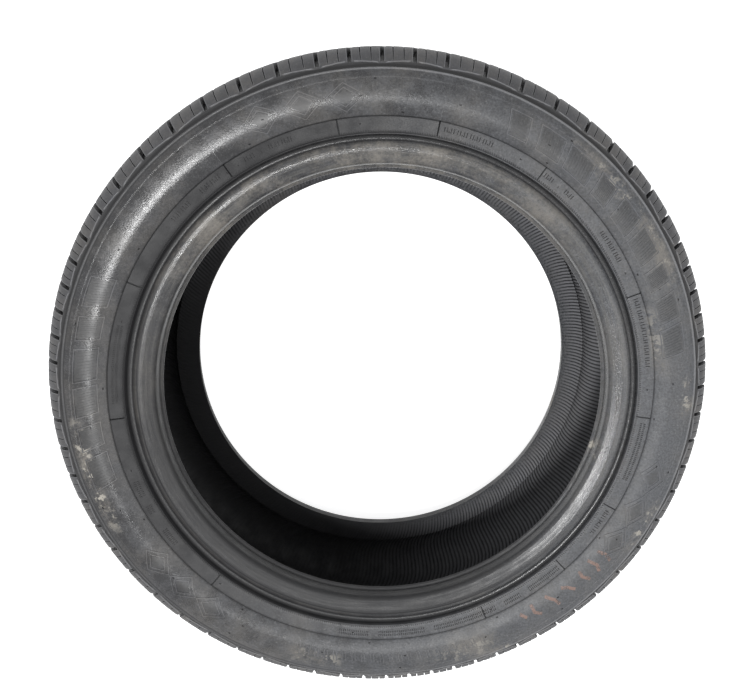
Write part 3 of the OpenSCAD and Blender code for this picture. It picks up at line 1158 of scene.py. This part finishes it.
# Radii in metres between which the bead's rubbed finish fades out, and the angle at which it is dustiest
BEAD_FADE = (0.2805, 0.277)
BEAD_DUST_ANGLE = 250.0

# Radii in metres between which the pale side (painted light on the liner) starts to make rubber more matte
HAZE_START = (0.284, 0.29)

# How far the darker stretches fade out past their radii, in metres
SHADE_FADE = 0.0012

# Colours that no finish changes: rubbed bead streaks, painted shade, and pale specks, painted glints on the
# liner
RUBBED = (0.13, 0.125, 0.115, 1.0)
SHADED = (0.008, 0.008, 0.009, 1.0)
PALE_SPECK_AND_GLINT = (0.2, 0.195, 0.185, 1.0)


def opaque(color: Sequence[float], share: float = 1.0, lift: float = 0.0) -> tuple[float, ...]:
    """A colour with an alpha of 1, made lighter or darker by a share and raised by a plain amount."""
    return tuple(min(c * share + lift, 1.0) for c in color) + (1.0,)


class MaterialStart:
    """A new material with its shader joined to its output."""

    def __init__(self, name: str) -> None:
        """Makes the material."""
        self.material = bpy.data.materials.new(name)
        self.material.use_nodes = True
        self.graph = Graph(self.material.node_tree)
        out, shader = self.graph.add("ShaderNodeOutputMaterial"), self.graph.add("ShaderNodeBsdfPrincipled")
        self.graph.link(shader.outputs[0], out.inputs[0])
        self.inputs = shader.inputs


@dataclass(frozen=True)
class Shade:
    """A darker stretch between two radii in metres, strongest at an angle in degrees.

    It isn't dirt that was seen: it stands in for the photo's light level there.
    """

    start_r: float
    end_r: float
    at: float
    strength: float


@dataclass(frozen=True)
class Scuff:
    """A pale rubbed place on the wall: its centre, its reach and how strong it is, in metres and degrees."""

    at_r: float
    reach_r: float
    at: float
    reach: float
    strength: float


@dataclass(frozen=True)
class RubberFinish:
    """One finish of the tyre's rubber.

    Strengths of wear, recesses, bead, the pale side and specks run from 0 to 1. Wear paints edges and ridge
    tops paler, partly real wear and partly painted highlight; recesses get painted shade; the pale side is a
    pale bluish colour, strongest at one angle, which on the liner is painted light; the pale specks on the
    liner are painted glints. grain and coarse are heights for the bump, and bump is its strength.
    """

    name: str
    color: tuple[float, float, float]
    roughness: float
    dust: tuple[float, float, float] = (0.17, 0.155, 0.135)
    dust_amount: float = 0.25
    grain: float = 0.4
    grain_scale: float = 900.0
    bump: float = 0.25
    wear: float = 0.5
    recess_shade_strength: float = 0.75
    bead: float = 0.0
    pale_side_and_light: float = 0.0
    pale_side_and_light_color: tuple[float, float, float] = (0.1, 0.105, 0.115)
    pale_side_and_light_angle: float = 20.0
    coarse: float = 0.0
    speckle_and_glint: float = 0.0
    ior: float = 1.5
    shades: tuple[Shade, ...] = ()
    scuffs: tuple[Scuff, ...] = ()
    scuff_color: tuple[float, float, float] = (0.3, 0.28, 0.245)

    def _speckled(self, g: Graph, base: Value, position: Value) -> Value:
        """Adds dark and pale specks to a colour; on the liner the pale ones are painted glints."""
        mottle = g.noise(position, 420.0, 4.0, 0.72)
        base = g.mix(g.between(mottle, 0.56, 0.38) * self.speckle_and_glint, base, opaque(self.color, 0.4))
        return g.mix(g.between(mottle, 0.58, 0.72) * (0.8 * self.speckle_and_glint), base, PALE_SPECK_AND_GLINT)

    def _shade(self, g: Graph, radius: Value, angle: Value) -> object:
        """Adds up the darker stretches, which are painted shade."""
        total: object = 0.0
        for shade in self.shades:
            low = g.between(radius, shade.start_r - SHADE_FADE, shade.start_r)
            high = g.between(radius, shade.end_r + SHADE_FADE, shade.end_r)
            side = g.between(g.toward(angle, shade.at), -0.35, 0.8) * shade.strength
            total = low * high * side + total
        return total

    def make(self, effects: Effects) -> bpy.types.Material:
        """Builds the material.

        Args:
            effects: The shared node groups.

        Returns:
            The new material.
        """
        start = MaterialStart(self.name)
        g, shader = start.graph, start.inputs
        g.link(self.ior, shader["IOR"])
        place = g.group(effects.place)
        position, radius, angle = place["Position"], place["Radius"], place["Angle"]
        grain = g.group(effects.grain, position=position, grain_scale=self.grain_scale, grain=self.grain)
        tone = g.between(grain["Tone"], 0.35, 0.65)
        base = g.mix(tone, opaque(self.color, 0.72), opaque(self.color, 1.3))
        worn_and_lit, pit = g.attribute("wear"), g.attribute("pit")
        if self.pale_side_and_light:
            # A pale bluish colour that grows towards one angle; on the liner it is painted light on the side
            # the key lamp lights.
            pale_side_and_light_share = g.between(g.toward(angle, self.pale_side_and_light_angle) + (tone - 0.5) * 0.6, -1.0, 1.1)
            base = g.mix((pale_side_and_light_share * self.pale_side_and_light).clamped(), base, opaque(self.pale_side_and_light_color))
        if self.speckle_and_glint:
            base = self._speckled(g, base, position)
        # Paler edges and ridge tops: partly wear, partly painted highlight.
        base = g.mix((worn_and_lit * self.wear).clamped(), base, opaque(self.color, 3.2, 0.06))
        # Painted shade in grooves, hollows and between ridges.
        base = g.mix((pit * self.recess_shade_strength).clamped(), base, opaque(self.color, 0.25))
        amount: object = self.dust_amount
        if self.bead:
            near_bead = g.between(radius, *BEAD_FADE)
            streaks = g.group(effects.streaks, position=position)["Value"]
            rubbed = g.between(streaks, 0.38, 0.66)
            base = g.mix(near_bead, base, g.mix(rubbed * 0.4, base, RUBBED))
            dusty = g.between(g.toward(angle, BEAD_DUST_ANGLE), -0.2, 0.9)
            amount = near_bead * dusty * self.bead + amount
        if self.shades:
            shade = self._shade(g, radius, angle)
            base = g.mix(shade, base, SHADED)
            amount = (1.0 - shade) * amount
        worn_through: object = 0.0
        for scuff in self.scuffs:
            mask = g.group(
                effects.patch, radius=radius, angle=angle, at_radius=scuff.at_r, radius_reach=scuff.reach_r,
                at_angle=scuff.at, angle_reach=scuff.reach)["Mask"]
            amount = mask * (0.7 * scuff.strength) + amount
            worn_through = g.math("MAXIMUM", worn_through, mask * scuff.strength)
        dust = g.group(effects.dust, position=position, clean=base, dust=opaque(self.dust),
                       amount=(1.0 - pit) * amount)
        color = dust["Color"]
        if self.scuffs:
            ragged = g.between(g.noise(position, 75.0, 7.0, 0.72), 0.535, 0.575)
            color = g.mix((ragged * worn_through * 0.55).clamped(), color, opaque(self.scuff_color))
        g.link(color, shader["Base Color"])
        rough = (dust["Cover"] * 0.25 + self.roughness + (tone - 0.5) * 0.12).clamped()
        if self.pale_side_and_light:
            rough = (rough + pale_side_and_light_share * g.between(radius, *HAZE_START) * (0.5 * self.pale_side_and_light)).clamped()
        if self.shades:
            rough = (rough + shade * 0.35).clamped()
        height = grain["Height"]
        if self.coarse:
            height = height + g.noise(position, 260.0, 3.0, 0.6) * self.coarse
        if self.bead:
            rough = (rough - near_bead * rubbed * 0.12).clamped()
            height = height + near_bead * streaks * 1.2
        g.link(rough, shader["Roughness"])
        bump = g.add("ShaderNodeBump")
        for key, value in (("Strength", self.bump), ("Distance", 0.0006), ("Height", height)):
            g.link(value, bump.inputs[key])
        g.link(bump.outputs[0], shader["Normal"])
        return start.material


@dataclass(frozen=True)
class CrayonFinish:
    """Faded wax crayon on rubber."""

    name: str = "wax_crayon"
    wax: tuple[float, float, float] = (0.21, 0.135, 0.11)
    rubber: tuple[float, float, float] = (0.13, 0.095, 0.085)

    def make(self, effects: Effects) -> bpy.types.Material:
        """Builds the material.

        Args:
            effects: The shared node groups.

        Returns:
            The new material.
        """
        start = MaterialStart(self.name)
        g, shader = start.graph, start.inputs
        position = g.group(effects.place)["Position"]
        tone = g.group(effects.grain, position=position, grain_scale=700.0, wave_scale=90.0)["Tone"]
        color = g.mix(g.between(tone, 0.42, 0.58), opaque(self.rubber), opaque(self.wax))
        alpha = g.between(tone, 0.36, 0.52) * 0.75
        for key, value in (("Base Color", color), ("Alpha", alpha), ("Roughness", 0.55)):
            g.link(value, shader[key])
        return start.material


class RingArray:
    """A Geometry Nodes tree that repeats one small piece round the spin axis, with some gaps."""

    def __init__(self) -> None:
        """Builds the tree once."""
        self.tree = bpy.data.node_groups.new("ring_array", "GeometryNodeTree")
        self.tree.is_modifier = True
        wanted = (("Unit", "NodeSocketObject"), ("Count", "NodeSocketInt"), ("Start", "NodeSocketFloat"),
                  ("Step", "NodeSocketFloat"), ("Word", "NodeSocketInt"), ("Gaps", "NodeSocketFloat"),
                  ("Seed", "NodeSocketInt"), ("Material", "NodeSocketMaterial"))
        self.sockets = {}
        for label, kind in wanted:
            socket = self.tree.interface.new_socket(label, in_out="INPUT", socket_type=kind)
            self.sockets[label] = socket.identifier
        self.tree.interface.new_socket("Geometry", in_out="OUTPUT", socket_type="NodeSocketGeometry")
        g = Graph(self.tree)
        source, target = g.add("NodeGroupInput"), g.add("NodeGroupOutput")
        src = {o.name: o for o in source.outputs}
        points, index = g.add("GeometryNodePoints"), g.add("GeometryNodeInputIndex")
        g.link(src["Count"], points.inputs["Count"])
        spin = g.add("ShaderNodeCombineXYZ")
        g.link(Value(g, index.outputs[0]) * src["Step"] + src["Start"], spin.inputs["Z"])
        word = g.math("FLOOR", g.math("DIVIDE", index.outputs[0], src["Word"]))
        chance = g.add("FunctionNodeRandomValue", data_type="FLOAT")
        g.link(word, chance.inputs["ID"])
        g.link(src["Seed"], chance.inputs["Seed"])
        keep = g.math("GREATER_THAN", next(o for o in chance.outputs if o.enabled), src["Gaps"])
        unit = g.add("GeometryNodeObjectInfo", transform_space="ORIGINAL")
        g.link(src["Unit"], unit.inputs["Object"])
        place = g.add("GeometryNodeInstanceOnPoints")
        for item, label in ((points.outputs[0], "Points"), (keep, "Selection"),
                            (unit.outputs["Geometry"], "Instance"), (spin.outputs[0], "Rotation")):
            g.link(item, place.inputs[label])
        real, dress = g.add("GeometryNodeRealizeInstances"), g.add("GeometryNodeSetMaterial")
        g.link(place.outputs[0], real.inputs[0])
        g.link(real.outputs[0], dress.inputs["Geometry"])
        g.link(src["Material"], dress.inputs["Material"])
        g.link(dress.outputs[0], target.inputs[0])

    def repeat(self, unit: bpy.types.Object, material: bpy.types.Material, start: float, end: float,
               step: float, word: int, gaps: float, seed: int) -> Part:
        """Repeats a piece clockwise from one angle to another.

        Args:
            unit: The piece, made at angle 0.
            material: Its material.
            start: First angle in degrees, clockwise.
            end: Last angle in degrees.
            step: Angle between copies in degrees.
            word: How many neighbours come or go together.
            gaps: Share of them that is left out, or a negative number for none.
            seed: Seed of that choice.

        Returns:
            Points and faces of all the copies.
        """
        host = plain_mesh("ring_host", np.zeros((3, 3)), [[0, 1, 2]])
        modifier = host.modifiers.new("ring_array", "NODES")
        modifier.node_group = self.tree
        values = {"Unit": unit, "Count": int((end - start) / step) + 1, "Start": -math.radians(start),
                  "Step": -math.radians(step), "Word": word, "Gaps": gaps, "Seed": seed, "Material": material}
        for label, value in values.items():
            modifier[self.sockets[label]] = value
        bpy.context.view_layer.update()
        ready = host.evaluated_get(bpy.context.evaluated_depsgraph_get())
        mesh = bpy.data.meshes.new_from_object(ready)
        points = np.empty(len(mesh.vertices) * 3)
        mesh.vertices.foreach_get("co", points)
        corners = np.empty(len(mesh.loops), int)
        mesh.loops.foreach_get("vertex_index", corners)
        bpy.data.objects.remove(host)
        bpy.data.meshes.remove(mesh)
        return points.reshape(-1, 3), corners.reshape(-1, 4)


@dataclass
class WallMarks:
    """What is moulded on the outer wall: blocks, lozenges, bar pairs, ticks, hatching and vent stubs."""

    section: Section
    array: RingArray
    pale: bpy.types.Material
    hatched: bpy.types.Material
    dark: bpy.types.Material
    block_w: float = 6.6
    block_lean: float = 0.55
    lozenge_r: float = 322
    block_zones: tuple[tuple[float, float], ...] = ((168, 211), (296, 356))
    bar_zone: tuple[float, float] = (74, 114)
    lozenge_zones: tuple[tuple[float, float], ...] = ((18, 42), (131, 153), (248, 271))
    fine_rows: tuple[tuple[float, float], ...] = ((11, 25), (51, 106), (150, 167), (185, 202))
    coarse_rows: tuple[tuple[float, float], ...] = (
        (33.5, 39), (227, 231.5), (235, 256), (286.5, 297), (309, 317), (326, 334), (342.5, 358))

    def _array(self, ridges: Sequence[Ridge], spans: Sequence[tuple[float, float]], step: float,
               word: int = 1, gaps: float = -1.0) -> list[Part]:
        """Repeats some ridges over some spans of angle."""
        unit = combine("unit", [ridge.mesh(self.section) for ridge in ridges])
        out = []
        for seed, (start, end) in enumerate(spans, 5):
            out.append(self.array.repeat(unit, self.pale, start, end, step, word, gaps, seed))
        bpy.data.objects.remove(unit)
        return out

    def _blocks(self) -> tuple[list[Part], list[Part]]:
        """Outlines and hatched fields of rows of leaning blocks in three widths."""
        lines, fields, lean = [], [], self.block_lean
        for zone, (start, end) in enumerate(self.block_zones):
            count = int((end - start) // self.block_w)
            span = (end - start) / count
            for k in range(count):
                middle = start + (k + 0.5) * span
                half = 0.5 * span - 0.4 - (0.0, 0.9, 0.35)[(k + zone) % 3]
                route = ((middle - half - lean, 335), (middle + half - lean, 335),
                         (middle + half + lean, 311.5), (middle - half + lean, 311.5))
                lines.append(Ridge(route, 1.3, 0.6, True).mesh(self.section))
                inner = half - 0.4
                foot = (middle - inner + lean, middle + inner + lean, 313)
                top = (middle - inner - lean, middle + inner - lean, 333.5)
                fields.append(Plate(foot, top).mesh(self.section))
                fill = inner - 0.35
                bar = Ridge(((0.8 * lean, 314.5), (-0.8 * lean, 332)), 0.8, 0.42)
                fields += self._array([bar], [(middle - fill, middle + fill + 0.01)], fill / 4)
        return lines, fields

    def _lozenges(self) -> tuple[list[Part], list[Part]]:
        """Outlines and fields of three lozenges in each of three places, each with a smaller one inside."""
        lines, fields, at_r = [], [], self.lozenge_r
        for start, end in self.lozenge_zones:
            third = (end - start) / 3
            for k in range(3):
                middle = start + (k + 0.5) * third
                for share in (1.0, 0.66):
                    wide, tall = 0.48 * third * share, 13.5 * share
                    route = ((middle - wide, at_r), (middle, at_r + tall),
                             (middle + wide, at_r), (middle, at_r - tall))
                    lines.append(Ridge(route, 1.1, 0.55, True).mesh(self.section))
                wide, tall = 0.48 * third * 0.5, 6.5
                for way in (-1, 1):
                    tip = (middle - 0.03, middle + 0.03, at_r + way * tall)
                    fields.append(Plate(tip, (middle - wide, middle + wide, at_r)).mesh(self.section))
        return lines, fields

    def pieces(self) -> list[tuple[bpy.types.Object, bpy.types.Material]]:
        """Builds all the marks.

        Returns:
            Each new object with its material.
        """
        (outlines, fields), (lozenges, lozenge_fields) = self._blocks(), self._lozenges()
        bars = [Ridge(((top, 328), (foot, 317.5)), 1.2, 0.5) for top, foot in ((-0.4, -0.1), (0.25, 0.55))]
        outlines += lozenges + self._array(bars, [self.bar_zone], 2.0)
        fine = []
        for r in (297.9, 294.2):
            fine += self._array([Ridge(((0, r - 1.1), (0, r + 1.1)), 1.1, 0.4)], self.fine_rows, 0.44, 5, 0.2)
        fine += self._array([Ridge(((0.1, 287.7), (-0.1, 289.3)), 0.9, 0.2)], [(0, 359.6)], 0.5)
        ticks = [Ridge(((a, 293.9), (a, 298.6)), 1.1, 0.45) for a in (-0.28, 0.28)]
        short = Ridge(((0.68, 293.9), (0.68, 295.6)), 1.1, 0.4)
        coarse = self._array(ticks, self.coarse_rows, 1.35, 2, 0.12)
        coarse += self._array([short], self.coarse_rows, 2.7)
        stubs = []
        for r, start, step, gaps in (
            (321.5, 1.5, 17.9, 0.15), (306.5, 9.5, 29.8, -1.0), (337.5, 20, 36.1, -1.0), (296, 3, 33.3, -1.0)
        ):
            stubs += self._array([Ridge(((-0.2, r), (0.2, r)), 1.3, 0.55)], [(start, 359)], step, 1, gaps)
        wanted = (("wall_outlines", outlines, self.pale),
                  ("wall_fields", fields + lozenge_fields, self.hatched),
                  ("wall_fine_rows", fine, self.dark), ("wall_coarse_rows", coarse, self.dark),
                  ("wall_stubs", stubs, self.dark))
        return [(combine(name, members), material) for name, members, material in wanted]


@dataclass
class CrayonStrokes:
    """Loose crayon strokes on the outer wall, which spell nothing."""

    section: Section
    strokes: tuple[tuple[tuple[float, float], ...], ...] = (
        ((41.8, 332), (41.3, 322), (41.9, 313)),
        ((45.0, 331), (44.2, 323), (44.9, 312)),
        ((47.4, 330), (48.3, 321), (47.9, 314)),
        ((51.2, 327), (52.2, 319), (53.4, 315)),
        ((55.8, 330), (56.0, 322), (57.4, 312)),
        ((60.0, 327), (61.2, 321), (61.0, 311)),
        ((63.2, 322), (64.2, 314)),
    )

    def build(self) -> bpy.types.Object:
        """Builds the strokes as thin ribbons.

        Returns:
            The new object.
        """
        parts = []
        for stroke in self.strokes:
            knots = np.array(stroke)
            t = np.arange(len(knots))
            fine = np.linspace(0, len(knots) - 1, 6 * len(knots))
            route = tuple(zip(np.interp(fine, t, knots[:, 0]), np.interp(fine, t, knots[:, 1])))
            parts.append(Ridge(route, 5.6, 0.07).mesh(self.section))
        return combine("crayon_strokes", parts, 60)


@dataclass(frozen=True)
class CameraPlace:
    """The camera that took the photograph, in the part's own frame."""

    distance: float = 0.8171
    tilt: float = -16.23
    turns: tuple[float, float, float] = (-3.741, 2.333, 5.027)
    focal_px: float = 634.5
    centre_px: tuple[float, float] = (407.1, 329.6)
    frame_px: tuple[float, float] = (753.0, 699.0)

    def build(self) -> bpy.types.Object:
        """Makes the camera and gives it to the scene.

        Returns:
            The camera object.
        """
        tilt = math.radians(self.tilt)
        spot = Vector((0, -self.distance * math.sin(tilt), self.distance * math.cos(tilt)))
        ahead = (-spot).normalized()
        right = ahead.cross(Vector((0, 1, 0))).normalized()
        above = right.cross(ahead)
        base = Matrix((right, above, -ahead))
        x, y, z = (math.radians(t) for t in self.turns)
        turn = Matrix.Rotation(z, 3, "Z") @ Matrix.Rotation(y, 3, "Y") @ Matrix.Rotation(x, 3, "X")
        rotation = (turn @ base).transposed().to_4x4()
        data = bpy.data.cameras.new("camera")
        data.sensor_fit, data.sensor_width = "HORIZONTAL", 36.0
        data.lens = self.focal_px / self.frame_px[0] * 36.0
        data.shift_x = (self.frame_px[0] / 2 - self.centre_px[0]) / self.frame_px[0]
        data.shift_y = (self.centre_px[1] - self.frame_px[1] / 2) / self.frame_px[0]
        data.clip_start, data.clip_end = 0.01, 50
        camera = bpy.data.objects.new("camera", data)
        camera.matrix_world = Matrix.Translation(spot) @ rotation
        bpy.context.scene.collection.objects.link(camera)
        bpy.context.scene.camera = camera
        return camera


def seen_plainly(g: Graph) -> Value:
    """Gives 1 for rays from the camera, off glossy surfaces or through clear ones, and 0 for soft light."""
    path = g.add("ShaderNodeLightPath")
    seen = g.math("MAXIMUM", path.outputs["Is Camera Ray"], path.outputs["Is Glossy Ray"])
    return g.math("MAXIMUM", seen, path.outputs["Is Transmission Ray"])


@dataclass
class Studio:
    """Floor, world and lamps."""

    floor_z: float
    world_strength: float = 0.62
    key_power: float = 31.0
    fill_power: float = 13.0

    def build(self) -> None:
        """Builds the floor, the world and the lamps."""
        self._world()
        self._floor()
        self._lamp("key", (-0.45, -0.08, 1.9), (0.42, 0.18), self.key_power, (0.0, 0.0, 0.1))
        self._lamp("fill", (1.1, -0.5, 1.8), (1.3, 1.6), self.fill_power, (0.0, 0.0, 0.0))

    def _world(self) -> None:
        """A plain white surrounding that the camera sees as white."""
        world = bpy.data.worlds.new("studio")
        bpy.context.scene.world = world
        world.use_nodes = True
        g = Graph(world.node_tree)
        out, mix = g.add("ShaderNodeOutputWorld"), g.add("ShaderNodeMixShader")
        g.link(seen_plainly(g), mix.inputs[0])
        backgrounds = (((0.96, 0.98, 1.0, 1), self.world_strength), ((1.0, 1.0, 1.0, 1), 1.0))
        for place, (color, strength) in enumerate(backgrounds, 1):
            background = g.add("ShaderNodeBackground")
            g.link(color, background.inputs[0])
            g.link(strength, background.inputs[1])
            g.link(background.outputs[0], mix.inputs[place])
        g.link(mix.outputs[0], out.inputs[0])

    def _floor(self) -> None:
        """A pale floor that shows as white and keeps the tyre's shadow."""
        size, z = 6.0, self.floor_z
        corners = [(-size, -size, z), (size, -size, z), (size, size, z), (-size, size, z)]
        floor = plain_mesh("floor", np.array(corners), [[0, 1, 2, 3]])
        material = bpy.data.materials.new("pale_floor")
        material.use_nodes = True
        g = Graph(material.node_tree)
        out, pale = g.add("ShaderNodeOutputMaterial"), g.add("ShaderNodeBsdfDiffuse")
        glow, add = g.add("ShaderNodeEmission"), g.add("ShaderNodeAddShader")
        g.link((0.62, 0.62, 0.62, 1), pale.inputs[0])
        g.link(seen_plainly(g) * 0.86, glow.inputs["Strength"])
        g.link(pale.outputs[0], add.inputs[0])
        g.link(glow.outputs[0], add.inputs[1])
        g.link(add.outputs[0], out.inputs[0])
        floor.data.materials.append(material)
        floor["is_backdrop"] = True

    @staticmethod
    def _lamp(
        name: str, spot: Sequence[float], size: tuple[float, float], power: float, aim: Sequence[float]
    ) -> None:
        """Adds a soft rectangular lamp that points at a place."""
        data = bpy.data.lights.new(name, "AREA")
        data.shape, data.size, data.size_y, data.energy = "RECTANGLE", size[0], size[1], power
        lamp = bpy.data.objects.new(name, data)
        direction = Vector(aim) - Vector(spot)
        lamp.rotation_euler = direction.to_track_quat("-Z", "Y").to_euler()
        lamp.location = spot
        bpy.context.scene.collection.objects.link(lamp)


# The shades below paint shade on one side of the wall's bands and of the liner.
TREAD_RUBBER = RubberFinish("tread_rubber", (0.038, 0.038, 0.041), 0.58, wear=0.6, recess_shade_strength=1.0, speckle_and_glint=0.3)
WALL_RUBBER = RubberFinish(
    "wall_rubber", (0.034, 0.034, 0.036), 0.25, ior=1.42, dust_amount=0.2, bead=0.6, grain=0.5, bump=0.42,
    coarse=0.7, pale_side_and_light=0.5, recess_shade_strength=1.0, speckle_and_glint=0.5,
    shades=(Shade(0.2865, 0.3025, 205, 1.0), Shade(0.25, 0.2745, 125, 0.9), Shade(0.2745, 0.2865, 165, 0.6),
            Shade(0.3455, 0.353, 180, 0.7)),
    scuffs=(Scuff(0.335, 0.011, 171, 15, 1.7), Scuff(0.340, 0.010, 4, 5, 1.1),
            Scuff(0.341, 0.009, 32, 7, 1.3), Scuff(0.2550, 0.006, 20.5, 3.5, 1.8),
            Scuff(0.3445, 0.006, 71.5, 3, 1.5), Scuff(0.33, 0.013, 110, 7, 1.1),
            Scuff(0.336, 0.012, 326, 22, 0.8), Scuff(0.309, 0.012, 352, 9, 0.7),
            Scuff(0.33, 0.02, 78, 9, 0.6)),
)
PALE_MARKS = RubberFinish("raised_marks", (0.06, 0.06, 0.063), 0.4, dust_amount=0.4, grain=0.3, pale_side_and_light=0.5)
HATCHED_MARKS = RubberFinish(
    "hatched_marks", (0.018, 0.018, 0.019), 0.42, dust_amount=0.12, grain=0.3, pale_side_and_light=0.25, speckle_and_glint=0.4)
DARK_MARKS = RubberFinish("dark_marks", (0.009, 0.009, 0.01), 0.5, ior=1.28, dust_amount=0.08, grain=0.3)
# The liner's pale side is painted light on the side the key lamp lights.
LINER_RUBBER = RubberFinish(
    "liner_rubber", (0.055, 0.055, 0.059), 0.33, dust_amount=0.2, wear=1.0, recess_shade_strength=1.0, pale_side_and_light=0.95,
    pale_side_and_light_angle=10, pale_side_and_light_color=(0.12, 0.124, 0.132), speckle_and_glint=0.9, shades=(Shade(0.2, 0.4, 150, 1.0),))


@dataclass
class CarTyre:
    """The whole tyre: its skins, marks and finishes."""

    section: Section = field(default_factory=Section)
    pitches: Pitches = field(default_factory=Pitches)
    sector_lines: tuple[float, ...] = (9.5, 32, 50, 71.5, 137.5, 181.5, 211, 241.5, 265, 285, 308, 341.3)
    crest_sink: float = 0.66

    def build(self) -> None:
        """Builds and dresses every piece in order."""
        effects = Effects()
        finishes = (TREAD_RUBBER, WALL_RUBBER, PALE_MARKS, HATCHED_MARKS, DARK_MARKS, LINER_RUBBER)
        tread, wall, pale, hatched, dark, liner = (finish.make(effects) for finish in finishes)
        outer = replace(self.section, crest_sink=self.crest_sink)
        for face in Face:
            settle(TreadHalf(self.section, self.pitches, face).build(), tread)
            lines = tuple(-a for a in self.sector_lines) if face is Face.OUTER else ()
            settle(Wall(outer if face is Face.OUTER else self.section, face, lines).build(), wall)
        settle(Liner(self.section).build(), liner)
        for piece, material in WallMarks(outer, RingArray(), pale, hatched, dark).pieces():
            settle(piece, material)
        settle(CrayonStrokes(outer).build(), CrayonFinish().make(effects))


def main() -> None:
    """Loads the frame, builds the camera, the tyre and the studio, with the floor at the bottom of the
    frame's box.
    """
    logging.basicConfig(level=logging.INFO, format="%(message)s")
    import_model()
    cad_box = [list(corner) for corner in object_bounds()]
    CameraPlace().build()
    CarTyre().build()
    Studio(floor_z=cad_box[0][2]).build()
    scene = bpy.context.scene
    scene.view_settings.view_transform = "Standard"


if __name__ == "__main__":
    main()
